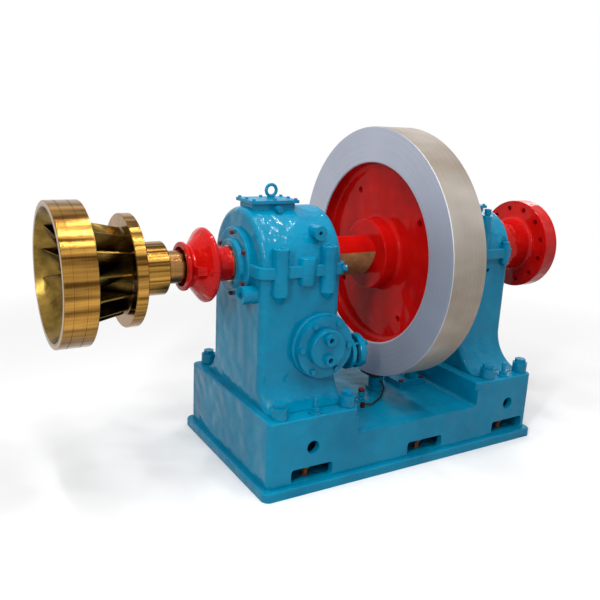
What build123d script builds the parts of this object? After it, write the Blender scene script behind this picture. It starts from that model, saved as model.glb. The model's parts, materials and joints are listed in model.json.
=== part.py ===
import os
from math import cos, radians, sin

from build123d import *

os.makedirs("parts", exist_ok=True)

# Overall layout along the shaft, X to the coupling, Z up, origin under the middle of the bed
shaft_height = 930.0
flywheel_radius = 600.0
rim_bottom = shaft_height - flywheel_radius
brake_space = 110.0
block_step = 80.0
bed_length = 1570.0
bed_width = 885.0
lip_projection = 25.0
lip_height = 42.0
body_length = bed_length - 2 * lip_projection
body_width = bed_width - 2 * lip_projection
body_corner = 26.0
middle_top = rim_bottom - brake_space
block_top = middle_top + block_step
left_block_end = -316.0
right_block_start = 392.0
foot_thickness = 40.0
foot_top = block_top + foot_thickness

# Clearances
fit_gap = 0.2
bolt_hole_gap = 1.5
running_gap = 0.1
seal_gap = 1.5
brake_gap = 9.0

# Rounding of cast and machined edges
foot_edge = 9.0
flange_edge = 4.0
boss_edge = 5.0
turned_edge = 3.0

# Bedplate casting
wall = 30.0
deck = 40.0
inner_flange = 90.0
centre_rib = 30.0
window_width = 207.0
window_bottom = 50.0
window_height = 62.0
window_stations = (-545.0, 80.0, 620.0)
lifting_hole_radius = 30.0
lifting_hole_height = block_top - 100.0
lifting_hole_stations = (-545.0, 609.0)
anchor_hole_radius = 16.5
anchor_line = body_width / 2 - 60.0
anchor_offset = 60.0
levelling_radius = 12.0

# Left pedestal
left_start = -723.0
left_end = -332.0
left_centre = (left_start + left_end) / 2
left_length = left_end - left_start
left_half_width = 244.0
left_flare_radius = 118.0
left_corner = 34.0

# Right pedestal
right_start = 442.0
right_end = 732.0
right_centre = (right_start + right_end) / 2
right_length = right_end - right_start
right_half_width = 200.0
right_flare_radius = 178.0
right_corner = 24.0

flare_angles = (0.0, 16.0, 32.0, 48.0, 64.0, 80.0)

# Split flanges and cap bolt columns
split_flange = 25.0
flange_reach = 19.0
left_column_radius = 36.0
left_column_stations = (-643.0, -408.0)
left_column_line = 247.0
left_column_top = shaft_height + 103.0
left_column_foot = shaft_height - 98.0
middle_boss_x = -511.0
middle_boss_line = 238.0
middle_boss_radius = 24.0
middle_boss_top = shaft_height + 58.0
middle_boss_foot = shaft_height - 47.0
right_column_radius = 24.0
right_column_stations = (right_centre - 105.0, right_centre + 105.0)
right_column_line = 204.0
right_column_top = shaft_height + 42.0
right_column_foot = shaft_height - 52.0
right_thread_depth = 44.0

# Caps, top plates and their ports
left_cap_top = shaft_height + 263.0
left_plate_x = -583.0
left_plate_length = 232.0
left_plate_width = 162.0
cover_plate_thickness = 13.0
eye_bolt_x = -567.0
left_port_x = -449.0
left_port_z = shaft_height + 155.0
left_port_face = 238.0
right_cap_top = shaft_height + 213.0
right_port_z = shaft_height - 85.0
right_port_radius = 10.0
ring_box_start = 532.0
ring_box_end = 588.0
right_plate_x = 570.0
right_plate_length = 200.0
right_plate_width = 140.0

# Bearings and covers
journal_radius = 80.0
shell_radius = 118.0
left_shell_length = 250.0
right_shell_length = 200.0
chamber_radius = 104.0
left_cover_radius = 158.0
right_cover_radius = 140.0
cover_flange = 24.0
cover_hub_radius = 112.0
cover_hub_length = 18.0
left_cover_bolt_circle = 135.0
right_cover_bolt_circle = 126.0
cover_screw_depth = 16.0

# Oil cooler cover on the front of the left pedestal
cooler_x = -427.0
cooler_z = shaft_height - 340.0
cooler_radius = 150.0
cooler_face = 262.0
cooler_cover_radius = 138.0
cooler_bolt_circle = 119.0
cooler_dome_radius = 88.0
cooler_port_pitch = 90.0
port_boss_radius = 25.0
port_hole_radius = 12.0

# Drain branch on the right of the left pedestal
drain_y = -195.0
drain_z = shaft_height - 408.0
drain_pipe_radius = 56.0
drain_flange_radius = 80.0
drain_face = -246.0
drain_cover_thickness = 22.0

# Oil branch on the end wall towards the runner
oil_branch_y = -174.0
oil_branch_z = shaft_height - 102.0
oil_branch_radius = 38.5
oil_branch_reach = 66.0
oil_port_radius = 14.0
drain_screw_circle = 67.0

cooler_flange = 28.0
cooler_dome_height = 30.0
port_boss_height = 18.0
end_wall = 30.0
right_flange_reach = 10.0
shrink_gap = 0.05
nose_thread_radius = 38.0
left_journal_start = -767.0
middle_shaft_start = -280.0
middle_shaft_end = 404.0

# Hexagon bolts, named by shank diameter
m10 = 10.0
m12 = 12.0
m16 = 16.0
m24 = 24.0
m30 = 30.0
left_foot_stations = (-690.0, -352.0)
right_foot_stations = (492.0, 718.0)
foot_bolt_line = 370.0
foot_bolt_depth = 38.0
foot_boss_radius = 36.0
foot_boss_height = 50.0
pin_radius = 10.0
pin_depth = 66.0
pin_reach = 70.0
pin_boss_radius = 30.0
pin_boss_height = 7.0
left_pin_station = -523.0
right_pin_station = 592.0
pin_line = 380.0

# Brake under the flywheel
brake_plate_start = 190.0
brake_plate_end = 360.0
brake_plate_half_width = 72.0
brake_plate_top = middle_top + 30.0
brake_bolt_stations = (208.0, 342.0)
brake_bolt_line = 54.0
jack_x = 84.0
jack_radius = 38.0
jack_flange_radius = 52.0
jack_flange_height = 14.0
ram_radius = 26.0
jack_top = rim_bottom - 45.0
shoe_bottom = rim_bottom - 30.0
shoe_length = 130.0
shoe_width = 110.0
shoe_thickness = 36.0
oil_cup_x = 296.0
oil_cup_y = -16.0
oil_cup_radius = 30.0
oil_cup_height = 44.0
union_x = -131.0
union_y = -190.0
union_radius = 12.0
pipe_radius = 4.0

# Rotor
rim_inner_radius = 434.0
flywheel_start = -19.0
flywheel_end = 167.0
web_start = 42.0
web_end = 106.0
hub_radius = 168.0
hub_reach = 24.0
middle_shaft_radius = 92.0
web_hole_radius = 16.0
web_hole_circle = 342.0
web_hole_angle = 57.0
coupling_start = 758.0
coupling_face = 962.0
coupling_end = 1044.0
coupling_radius = 235.0
coupling_neck_radius = 134.0
coupling_hole_radius = 14.0
coupling_hole_circle = 195.0
coupling_holes = 12
coupling_seat_radius = 70.0
sleeve_radius = 69.0
sleeve_bore_radius = 60.0
slinger_start = -987.0
slinger_end = -773.0
slinger_radius = 159.0
slinger_collar_radius = 103.0
slinger_ear_line = 108.0

# Francis runner
band_start = -1519.0
band_end = -1392.0
band_radius = 285.5
band_inlet_radius = 201.0
band_outlet_radius = 262.0
crown_face = -1239.0
crown_back = -1193.0
crown_radius = 229.0
crown_inlet_radius = 179.0
runner_hub_radius = 110.5
runner_hub_end = -1064.0
runner_seat_radius = 55.0
nose_end = -1392.0
nose_radius = 66.0
band_grooves = (-1486.0, -1438.0)
groove_width = 3.0
groove_depth = 2.5
blade_count = 13
blade_stations = 6
blade_thickness = 7.0
blade_wrap_hub = 46.0
blade_wrap_tip = 34.0
crown_line = ((crown_face + 6.0, 172.0), (-1272.0, 98.0), (-1384.0, 56.0))
band_line = ((band_end + 2.0, 206.0), (-1440.0, 218.0), (-1500.0, 268.0))

shaft_axis = Axis((0, 0, shaft_height), (1, 0, 0))


# Turns (x, radius) pairs into points of the XZ plane above the shaft axis
def outline(*pairs):
    return [(x, shaft_height + radius) for x, radius in pairs]


# Corner of a turned section nearest to a place along the shaft and a radius
def corner(section, x, radius):
    return section.vertices().sort_by_distance((x, shaft_height + radius, 0))[0]


# Plane square to the shaft whose local x runs to -Y and local y runs up
def across(x):
    return Plane(origin=(x, 0, shaft_height), x_dir=(0, -1, 0), z_dir=(-1, 0, 0))


# Bolts hang from the origin with the head above it
with BuildPart() as bolt_m30:
    with BuildSketch():
        RegularPolygon(23.0, 6, major_radius=False)
    extrude(amount=19.0)
    with BuildSketch():
        Circle(m30 / 2)
    extrude(amount=-(foot_thickness + foot_boss_height + foot_bolt_depth - 6.0))
    with BuildSketch():
        Circle(28.0)
    extrude(amount=4.0)

with BuildPart() as bolt_m24:
    with BuildSketch():
        Circle(18.0)
    extrude(amount=16.0)
    with BuildSketch(Plane.XY.offset(16.0)):
        RegularPolygon(9.5, 6, major_radius=False)
    extrude(amount=-10.0, mode=Mode.SUBTRACT)
    with BuildSketch():
        Circle(m24 / 2)
    extrude(amount=-150.0)

with BuildPart() as bolt_m24_short:
    with BuildSketch():
        RegularPolygon(18.0, 6, major_radius=False)
    extrude(amount=15.0)
    with BuildSketch():
        Circle(m24 / 2)
    extrude(amount=-(right_column_top - shaft_height + right_thread_depth - 4.0))

with BuildPart() as bolt_m16:
    with BuildSketch():
        RegularPolygon(12.0, 6, major_radius=False)
    extrude(amount=10.0)
    with BuildSketch():
        Circle(m16 / 2)
    extrude(amount=-52.0)

with BuildPart() as screw_m12:
    with BuildSketch():
        Circle(9.0)
    extrude(amount=12.0)
    with BuildSketch(Plane.XY.offset(12.0)):
        RegularPolygon(5.0, 6, major_radius=False)
    extrude(amount=-6.0, mode=Mode.SUBTRACT)
    with BuildSketch():
        Circle(m12 / 2)
    extrude(amount=-38.0)

# Bedplate: stepped casting, hollow underneath, with a footing lip all round
with BuildPart() as bedplate:
    with BuildSketch():
        RectangleRounded(bed_length, bed_width, 34.0)
    extrude(amount=lip_height)
    fillet(bedplate.faces().sort_by(Axis.Z)[-1].edges(), 10.0)
    with BuildSketch(Plane.XZ) as bed_side:
        with BuildLine():
            Polyline(
                (-body_length / 2, 0),
                (-body_length / 2, block_top),
                (left_block_end, block_top),
                (left_block_end, middle_top),
                (right_block_start, middle_top),
                (right_block_start, block_top),
                (body_length / 2, block_top),
                (body_length / 2, 0),
                close=True,
            )
        make_face()
        step_corners = bed_side.vertices().filter_by_position(Axis.Y, middle_top - 1, middle_top + 1)
        fillet(step_corners, 18.0)
    extrude(amount=body_width / 2, both=True)
    body_corners = bedplate.edges().filter_by(Axis.Z).filter_by(lambda e: e.length > block_top - lip_height - 2)
    fillet(body_corners, body_corner)
    for start, end, top in (
        (-body_length / 2 + wall, left_block_end - wall, block_top - deck),
        (left_block_end, -centre_rib / 2, middle_top - deck),
        (centre_rib / 2, right_block_start - wall, middle_top - deck),
        (right_block_start + wall, body_length / 2 - wall, block_top - deck),
    ):
        with BuildSketch(Plane.XY.offset(lip_height)):
            with Locations(((start + end) / 2, 0)):
                RectangleRounded(end - start, body_width - 2 * wall, 20.0)
        extrude(amount=top - lip_height, mode=Mode.SUBTRACT)
        with BuildSketch():
            with Locations(((start + end) / 2, 0)):
                RectangleRounded(end - start - 60.0, body_width - 2 * wall - 2 * inner_flange, 20.0)
        extrude(amount=lip_height, mode=Mode.SUBTRACT)
    with BuildSketch(Plane.XZ):
        with Locations(*[(x, window_bottom + window_height / 2) for x in window_stations]):
            RectangleRounded(window_width, window_height, 14.0)
        with Locations(*[(x, lifting_hole_height) for x in lifting_hole_stations]):
            Circle(lifting_hole_radius)
    extrude(amount=body_width, both=True, mode=Mode.SUBTRACT)
    with BuildSketch():
        with Locations(*[(x + anchor_offset, y) for x in window_stations for y in (-anchor_line, anchor_line)]):
            Circle(anchor_hole_radius)
        with Locations(*[(x, y) for x in window_stations for y in (-anchor_line, anchor_line)]):
            Circle(levelling_radius + fit_gap)
    extrude(amount=lip_height, mode=Mode.SUBTRACT)
    foot_stations = left_foot_stations + right_foot_stations
    with BuildSketch(Plane.XY.offset(block_top)):
        with Locations(*[(x, y) for x in foot_stations for y in (-foot_bolt_line, foot_bolt_line)]):
            Circle(m30 / 2 + fit_gap)
    extrude(amount=-foot_bolt_depth, mode=Mode.SUBTRACT)
    with BuildSketch(Plane.XY.offset(block_top)):
        with Locations(*[(x, y) for x in (left_pin_station, right_pin_station) for y in (-pin_line, pin_line)]):
            Circle(pin_radius + fit_gap)
    extrude(amount=-30.0, mode=Mode.SUBTRACT)
    with BuildSketch(Plane.XY.offset(middle_top)):
        with Locations(*[(x, y) for x in brake_bolt_stations for y in (-brake_bolt_line, brake_bolt_line)]):
            Circle(m16 / 2 + fit_gap)
    extrude(amount=-36.0, mode=Mode.SUBTRACT)
bedplate.part.label = "bedplate"
export_step(bedplate.part, "parts/bedplate.step")

# Levelling screws standing in the floor of the six windows
with BuildPart() as levelling_screws:
    with BuildSketch(Plane.XY.offset(2.0)):
        with Locations(*[(x, y) for x in window_stations for y in (-anchor_line, anchor_line)]):
            Circle(levelling_radius)
    extrude(amount=76.0)
    with BuildSketch(Plane.XY.offset(78.0)):
        with Locations(*[(x, y) for x in window_stations for y in (-anchor_line, anchor_line)]):
            RegularPolygon(18.0, 6, major_radius=False)
    extrude(amount=15.0)
levelling_screws.part.label = "levelling_screws"
export_step(levelling_screws.part, "parts/levelling_screws.step")

# Left pedestal: flared body on a foot, split at the shaft axis
with BuildPart() as left_pedestal:
    for angle in flare_angles:
        spread = left_half_width + left_flare_radius * (1 - cos(radians(angle)))
        with BuildSketch(Plane.XY.offset(foot_top + left_flare_radius * (1 - sin(radians(angle))))):
            with Locations((left_centre, 0)):
                RectangleRounded(left_length, 2 * spread, left_corner)
    loft()
    with BuildSketch(Plane.XY.offset(foot_top + left_flare_radius)):
        with Locations((left_centre, 0)):
            RectangleRounded(left_length, 2 * left_half_width, left_corner)
    extrude(amount=shaft_height - foot_top - left_flare_radius)
    with BuildSketch(Plane.XY.offset(foot_top)):
        with Locations((left_centre, 0)):
            RectangleRounded(left_length, 2 * left_half_width, left_corner)
    extrude(amount=left_flare_radius)
    with BuildSketch(Plane.XY.offset(block_top)):
        with Locations(((left_block_end - body_length / 2) / 2, 0)):
            RectangleRounded(
                left_block_end + body_length / 2, body_width, body_corner
            )
    extrude(amount=foot_thickness)
    left_foot_rim = left_pedestal.edges().filter_by(
        lambda e: abs(e.center().Z - foot_top) < 1e-3
    ).filter_by(
        lambda e: e.center().X < left_start - 5 or e.center().X > left_end + 5 or abs(e.center().Y) > 390
    )
    fillet(left_foot_rim, foot_edge)
    with BuildSketch(Plane.XY.offset(foot_top)):
        with Locations(*[(x, y) for x in left_foot_stations for y in (-foot_bolt_line, foot_bolt_line)]):
            Circle(foot_boss_radius)
    extrude(amount=foot_boss_height)
    with BuildSketch(Plane.XY.offset(foot_top)):
        with Locations(*[(left_pin_station, y) for y in (-pin_line, pin_line)]):
            Circle(pin_boss_radius)
    extrude(amount=pin_boss_height)
    with BuildSketch(Plane.XY.offset(shaft_height)):
        with Locations((left_centre, 0)):
            RectangleRounded(
                left_length + 2 * flange_reach, 2 * (left_half_width + flange_reach), left_corner + flange_reach
            )
    extrude(amount=-split_flange)
    left_flange_rim = left_pedestal.edges().filter_by(
        lambda e: abs(e.center().Z - shaft_height + split_flange) < 1e-3
    ).filter_by(
        lambda e: abs(e.center().X - left_centre) > left_length / 2 + 1
        or abs(e.center().Y) > left_half_width + 1
    )
    fillet(left_flange_rim, flange_edge)
    with BuildSketch(Plane.XY.offset(shaft_height)):
        with Locations(*[(x, y) for x in left_column_stations for y in (-left_column_line, left_column_line)]):
            Circle(left_column_radius)
    extrude(amount=left_column_foot - shaft_height)
    with BuildSketch(Plane.XY.offset(shaft_height)):
        with Locations((middle_boss_x, -middle_boss_line), (middle_boss_x, middle_boss_line)):
            Circle(middle_boss_radius)
    extrude(amount=middle_boss_foot - shaft_height)
    with Locations(*[
        (x, y, left_column_foot) for x in left_column_stations for y in (-left_column_line, left_column_line)
    ]):
        Cone(8.0, left_column_radius, 34.0, align=(Align.CENTER, Align.CENTER, Align.MAX))
    with BuildSketch(Plane.XZ.offset(cooler_face)):
        with Locations((cooler_x, cooler_z)):
            Circle(cooler_radius)
    extrude(amount=-(cooler_face + 40.0))
    cooler_rims = left_pedestal.edges().filter_by(GeomType.CIRCLE).filter_by(
        lambda e: abs(e.center().Y + cooler_face) < 1e-3
    )
    fillet(cooler_rims, 10.0)
    with BuildSketch(Plane.YZ.offset(left_end - 40.0)):
        with Locations((drain_y, drain_z)):
            Circle(drain_pipe_radius)
    extrude(amount=drain_face - left_end + 40.0)
    with BuildSketch(Plane.YZ.offset(drain_face)):
        with Locations((drain_y, drain_z)):
            Circle(drain_flange_radius)
    extrude(amount=-18.0)
    with BuildSketch(Plane.YZ.offset(left_start + 20.0)):
        with Locations((oil_branch_y, oil_branch_z)):
            Circle(oil_branch_radius)
    extrude(amount=-(oil_branch_reach + 20.0))
    with BuildSketch(Plane.YZ.offset(left_start - oil_branch_reach)):
        with Locations((oil_branch_y, oil_branch_z)):
            Circle(oil_port_radius)
    extrude(amount=50.0, mode=Mode.SUBTRACT)
    with BuildSketch(Plane.YZ.offset(left_start - 100.0)):
        with Locations((0, shaft_height)):
            Circle(left_cover_radius + fit_gap)
    extrude(amount=100.0, mode=Mode.SUBTRACT)
    with BuildSketch(Plane.YZ.offset(left_end)):
        with Locations((0, shaft_height)):
            Circle(right_cover_radius + fit_gap)
    extrude(amount=40.0, mode=Mode.SUBTRACT)
    with BuildSketch(Plane.YZ.offset(left_start)):
        with Locations((0, shaft_height)):
            Circle(chamber_radius)
    extrude(amount=left_length, mode=Mode.SUBTRACT)
    with BuildSketch(Plane.YZ.offset(left_centre - left_shell_length / 2)):
        with Locations((0, shaft_height)):
            Circle(shell_radius + fit_gap)
    extrude(amount=left_shell_length, mode=Mode.SUBTRACT)
    with BuildSketch(Plane.XY.offset(foot_top + foot_boss_height)):
        with Locations(*[(x, y) for x in left_foot_stations for y in (-foot_bolt_line, foot_bolt_line)]):
            Circle(m30 / 2 + bolt_hole_gap)
    extrude(amount=-(foot_thickness + foot_boss_height), mode=Mode.SUBTRACT)
    with BuildSketch(Plane.XY.offset(foot_top + pin_boss_height)):
        with Locations(*[(left_pin_station, y) for y in (-pin_line, pin_line)]):
            Circle(pin_radius + fit_gap)
    extrude(amount=-(foot_thickness + pin_boss_height), mode=Mode.SUBTRACT)
    with BuildSketch(Plane.XY.offset(shaft_height)):
        with Locations(*[(x, y) for x in left_column_stations for y in (-left_column_line, left_column_line)]):
            Circle(m24 / 2 + fit_gap)
    extrude(amount=-66.0, mode=Mode.SUBTRACT)
    with BuildSketch(Plane.XZ.offset(cooler_face)):
        with Locations((cooler_x, cooler_z)):
            Circle(100.0)
            with PolarLocations(cooler_bolt_circle, 6):
                Circle(m16 / 2 + fit_gap)
    extrude(amount=-40.0, mode=Mode.SUBTRACT)
    with BuildSketch(Plane.YZ.offset(drain_face)):
        with Locations((drain_y, drain_z)):
            Circle(38.0)
    extrude(amount=-60.0, mode=Mode.SUBTRACT)
    with BuildSketch(Plane.YZ.offset(drain_face)):
        with Locations((drain_y, drain_z)):
            with PolarLocations(drain_screw_circle, 4, start_angle=45.0):
                Circle(m12 / 2 + fit_gap)
    extrude(amount=-18.0, mode=Mode.SUBTRACT)
    with BuildSketch(Plane.YZ.offset(left_start)):
        with Locations((0, shaft_height)):
            with PolarLocations(left_cover_bolt_circle, 6, start_angle=30.0):
                Circle(m12 / 2 + fit_gap)
    extrude(amount=cover_screw_depth, mode=Mode.SUBTRACT)
    with BuildSketch(Plane.YZ.offset(left_end)):
        with Locations((0, shaft_height)):
            with PolarLocations(right_cover_bolt_circle, 6, start_angle=30.0):
                Circle(m12 / 2 + fit_gap)
    extrude(amount=-cover_screw_depth, mode=Mode.SUBTRACT)
left_pedestal.part.label = "left_pedestal"
export_step(left_pedestal.part, "parts/left_pedestal.step")

# Left pedestal cap: half barrel with rounded ends, flange, bolt columns and a curb on top
with BuildPart() as left_pedestal_cap:
    with BuildSketch(Plane.YZ.offset(left_start)):
        with BuildLine():
            CenterArc((0, shaft_height), left_half_width, 0, 180)
            Line((-left_half_width, shaft_height), (left_half_width, shaft_height))
        make_face()
    extrude(amount=left_length)
    end_arcs = left_pedestal_cap.edges().filter_by(GeomType.CIRCLE)
    fillet(end_arcs, 28.0)
    with BuildSketch(Plane.XY.offset(shaft_height)):
        with Locations((left_centre, 0)):
            RectangleRounded(
                left_length + 2 * flange_reach, 2 * (left_half_width + flange_reach), left_corner + flange_reach
            )
    extrude(amount=split_flange)
    left_cap_rim = left_pedestal_cap.edges().filter_by(
        lambda e: abs(e.center().Z - shaft_height - split_flange) < 1e-3
    ).filter_by(
        lambda e: abs(e.center().X - left_centre) > left_length / 2 + 1
        or abs(e.center().Y) > left_half_width + 1
    )
    fillet(left_cap_rim, flange_edge)
    with BuildSketch(Plane.XY.offset(shaft_height)):
        with Locations(*[(x, y) for x in left_column_stations for y in (-left_column_line, left_column_line)]):
            Circle(left_column_radius)
    extrude(amount=left_column_top - shaft_height)
    with BuildSketch(Plane.XY.offset(shaft_height)):
        with Locations((middle_boss_x, -middle_boss_line), (middle_boss_x, middle_boss_line)):
            Circle(middle_boss_radius)
    extrude(amount=middle_boss_top - shaft_height)
    left_column_rims = left_pedestal_cap.edges().filter_by(GeomType.CIRCLE).filter_by(
        lambda e: abs(e.center().Z - left_column_top) < 1e-3
    )
    fillet(left_column_rims, boss_edge)
    with BuildSketch(Plane.XY.offset(left_cap_top)):
        with Locations((left_plate_x, 0)):
            RectangleRounded(left_plate_length - 24.0, left_plate_width - 30.0, 10.0)
    extrude(amount=-60.0)
    with BuildSketch(Plane.XZ.offset(left_port_face)):
        with Locations((left_port_x, left_port_z)):
            Circle(31.0)
    extrude(amount=-90.0)
    with BuildSketch(Plane.XZ.offset(left_port_face)):
        with Locations((left_port_x, left_port_z)):
            Circle(9.0)
    extrude(amount=-40.0, mode=Mode.SUBTRACT)
    with BuildSketch(Plane.XZ.offset(104.0)):
        with Locations((left_plate_x + 8.0, left_cap_top - 24.0)):
            Circle(15.0)
    extrude(amount=-50.0)
    with BuildSketch(Plane.YZ.offset(left_start - 100.0)):
        with Locations((0, shaft_height)):
            Circle(left_cover_radius + fit_gap)
    extrude(amount=100.0, mode=Mode.SUBTRACT)
    with BuildSketch(Plane.YZ.offset(left_end)):
        with Locations((0, shaft_height)):
            Circle(right_cover_radius + fit_gap)
    extrude(amount=40.0, mode=Mode.SUBTRACT)
    with BuildSketch(Plane.YZ.offset(left_start)):
        with Locations((0, shaft_height)):
            Circle(chamber_radius)
    extrude(amount=left_length, mode=Mode.SUBTRACT)
    with BuildSketch(Plane.YZ.offset(left_centre - left_shell_length / 2)):
        with Locations((0, shaft_height)):
            Circle(shell_radius + fit_gap)
    extrude(amount=left_shell_length, mode=Mode.SUBTRACT)
    with BuildSketch(Plane.XY.offset(shaft_height)):
        with Locations(*[(x, y) for x in left_column_stations for y in (-left_column_line, left_column_line)]):
            Circle(m24 / 2 + bolt_hole_gap)
    extrude(amount=left_column_top - shaft_height, mode=Mode.SUBTRACT)
    with BuildSketch(Plane.XY.offset(left_column_top)):
        with Locations(*[(x, y) for x in left_column_stations for y in (-left_column_line, left_column_line)]):
            Circle(19.5)
    extrude(amount=-14.0, mode=Mode.SUBTRACT)
    with BuildSketch(Plane.XY.offset(left_cap_top)):
        with Locations((left_plate_x, 0)):
            RectangleRounded(left_plate_length - 60.0, left_plate_width - 50.0, 8.0)
    extrude(amount=-60.0, mode=Mode.SUBTRACT)
    with BuildSketch(Plane.YZ.offset(left_start)):
        with Locations((0, shaft_height)):
            with PolarLocations(left_cover_bolt_circle, 6, start_angle=30.0):
                Circle(m12 / 2 + fit_gap)
    extrude(amount=cover_screw_depth, mode=Mode.SUBTRACT)
    with BuildSketch(Plane.YZ.offset(left_end)):
        with Locations((0, shaft_height)):
            with PolarLocations(right_cover_bolt_circle, 6, start_angle=30.0):
                Circle(m12 / 2 + fit_gap)
    extrude(amount=-cover_screw_depth, mode=Mode.SUBTRACT)
left_pedestal_cap.part.label = "left_pedestal_cap"
export_step(left_pedestal_cap.part, "parts/left_pedestal_cap.step")

with BuildPart() as left_cap_bolts:
    with Locations(*[
        (x, y, left_column_top - 14.0)
        for x in left_column_stations
        for y in (-left_column_line, left_column_line)
    ]):
        add(bolt_m24.part)
left_cap_bolts.part.label = "left_cap_bolts"
export_step(left_cap_bolts.part, "parts/left_cap_bolts.step")

# Cover plate over the oil chamber, with the eye bolt screwed into it
with BuildPart() as left_top_cover:
    with BuildSketch(Plane.XY.offset(left_cap_top)):
        with Locations((left_plate_x, 0)):
            RectangleRounded(left_plate_length, left_plate_width, 6.0)
    extrude(amount=cover_plate_thickness)
    with BuildSketch(Plane.XY.offset(left_cap_top)):
        with Locations((eye_bolt_x, 0)):
            Circle(m16 / 2 + fit_gap)
    extrude(amount=cover_plate_thickness, mode=Mode.SUBTRACT)
left_top_cover.part.label = "left_top_cover"
export_step(left_top_cover.part, "parts/left_top_cover.step")

with BuildPart() as eye_bolt:
    with BuildSketch(Plane.XY.offset(left_cap_top + cover_plate_thickness)):
        with Locations((eye_bolt_x, 0)):
            Circle(17.5)
    extrude(amount=8.0)
    with BuildSketch(Plane.XY.offset(left_cap_top + cover_plate_thickness)):
        with Locations((eye_bolt_x, 0)):
            Circle(m16 / 2)
    extrude(amount=-26.0)
    with BuildSketch(Plane.XY.offset(left_cap_top + cover_plate_thickness + 8.0 + 28.0)):
        with Locations((eye_bolt_x + 24.5, 0)):
            Circle(7.0)
    eye_axis = Axis(
        (eye_bolt_x, 0, left_cap_top + cover_plate_thickness + 8.0 + 28.0), (0, 1, 0)
    )
    revolve(axis=eye_axis)
eye_bolt.part.label = "eye_bolt"
export_step(eye_bolt.part, "parts/eye_bolt.step")

# Bearing shells: plain white-metal liners with oil grooves at the split
with BuildPart() as left_bearing_shell:
    with BuildSketch(Plane.YZ.offset(left_centre - left_shell_length / 2 + fit_gap)):
        with Locations((0, shaft_height)):
            Circle(shell_radius)
            Circle(journal_radius + running_gap, mode=Mode.SUBTRACT)
    extrude(amount=left_shell_length - 2 * fit_gap)
left_bearing_shell.part.label = "left_bearing_shell"
export_step(left_bearing_shell.part, "parts/left_bearing_shell.step")

with BuildPart() as right_bearing_shell:
    with BuildSketch(Plane.YZ.offset(right_centre - right_shell_length / 2 + fit_gap)):
        with Locations((0, shaft_height)):
            Circle(shell_radius)
            Circle(journal_radius + running_gap, mode=Mode.SUBTRACT)
    extrude(amount=right_shell_length - 2 * fit_gap)
right_bearing_shell.part.label = "right_bearing_shell"
export_step(right_bearing_shell.part, "parts/right_bearing_shell.step")

# Seal covers bolted over the shaft openings
with BuildPart() as left_outer_seal_cover:
    with BuildSketch(Plane.XZ) as cover_section:
        with BuildLine():
            Polyline(
                *outline(
                    (left_start, journal_radius + seal_gap),
                    (left_start, left_cover_radius),
                    (left_start - cover_flange, left_cover_radius),
                    (left_start - cover_flange, cover_hub_radius),
                    (left_start - cover_flange - cover_hub_length, cover_hub_radius - 6.0),
                    (left_start - cover_flange - cover_hub_length, journal_radius + seal_gap),
                ),
                close=True,
            )
        make_face()
        fillet(corner(cover_section, left_start - cover_flange - cover_hub_length, cover_hub_radius), 8.0)
        fillet(corner(cover_section, left_start - cover_flange, left_cover_radius), 7.0)
    revolve(axis=shaft_axis)
    with BuildSketch(Plane.YZ.offset(left_start)):
        with Locations((0, shaft_height)):
            with PolarLocations(left_cover_bolt_circle, 6, start_angle=30.0):
                Circle(m12 / 2 + fit_gap)
    extrude(amount=-cover_flange, mode=Mode.SUBTRACT)
left_outer_seal_cover.part.label = "left_outer_seal_cover"
export_step(left_outer_seal_cover.part, "parts/left_outer_seal_cover.step")

with BuildPart() as left_inner_seal_cover:
    with BuildSketch(Plane.XZ) as cover_section:
        with BuildLine():
            Polyline(
                *outline(
                    (left_end, journal_radius + seal_gap),
                    (left_end, right_cover_radius),
                    (left_end + cover_flange, right_cover_radius),
                    (left_end + cover_flange, cover_hub_radius),
                    (left_end + cover_flange + cover_hub_length, cover_hub_radius - 6.0),
                    (left_end + cover_flange + cover_hub_length, journal_radius + seal_gap),
                ),
                close=True,
            )
        make_face()
        fillet(corner(cover_section, left_end + cover_flange + cover_hub_length, cover_hub_radius), 8.0)
        fillet(corner(cover_section, left_end + cover_flange, right_cover_radius), 5.0)
    revolve(axis=shaft_axis)
    with BuildSketch(Plane.YZ.offset(left_end)):
        with Locations((0, shaft_height)):
            with PolarLocations(right_cover_bolt_circle, 6, start_angle=30.0):
                Circle(m12 / 2 + fit_gap)
    extrude(amount=cover_flange, mode=Mode.SUBTRACT)
left_inner_seal_cover.part.label = "left_inner_seal_cover"
export_step(left_inner_seal_cover.part, "parts/left_inner_seal_cover.step")

with BuildPart() as right_inner_seal_cover:
    with BuildSketch(Plane.XZ):
        with BuildLine():
            Polyline(
                *outline(
                    (right_start, journal_radius + seal_gap),
                    (right_start, right_cover_radius),
                    (right_start - cover_flange, right_cover_radius),
                    (right_start - cover_flange, journal_radius + seal_gap),
                ),
                close=True,
            )
        make_face()
    revolve(axis=shaft_axis)
    with BuildSketch(Plane.YZ.offset(right_start)):
        with Locations((0, shaft_height)):
            with PolarLocations(right_cover_bolt_circle, 6, start_angle=30.0):
                Circle(m12 / 2 + fit_gap)
    extrude(amount=-cover_flange, mode=Mode.SUBTRACT)
right_inner_seal_cover.part.label = "right_inner_seal_cover"
export_step(right_inner_seal_cover.part, "parts/right_inner_seal_cover.step")

with BuildPart() as seal_cover_screws:
    with Locations(across(left_start - cover_flange)):
        with PolarLocations(left_cover_bolt_circle, 6, start_angle=30.0):
            add(screw_m12.part)
    with Locations(Plane(across(left_end + cover_flange).origin, x_dir=(0, 1, 0), z_dir=(1, 0, 0))):
        with PolarLocations(right_cover_bolt_circle, 6, start_angle=30.0):
            add(screw_m12.part)
    with Locations(across(right_start - cover_flange)):
        with PolarLocations(right_cover_bolt_circle, 6, start_angle=30.0):
            add(screw_m12.part)
seal_cover_screws.part.label = "seal_cover_screws"
export_step(seal_cover_screws.part, "parts/seal_cover_screws.step")

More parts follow.
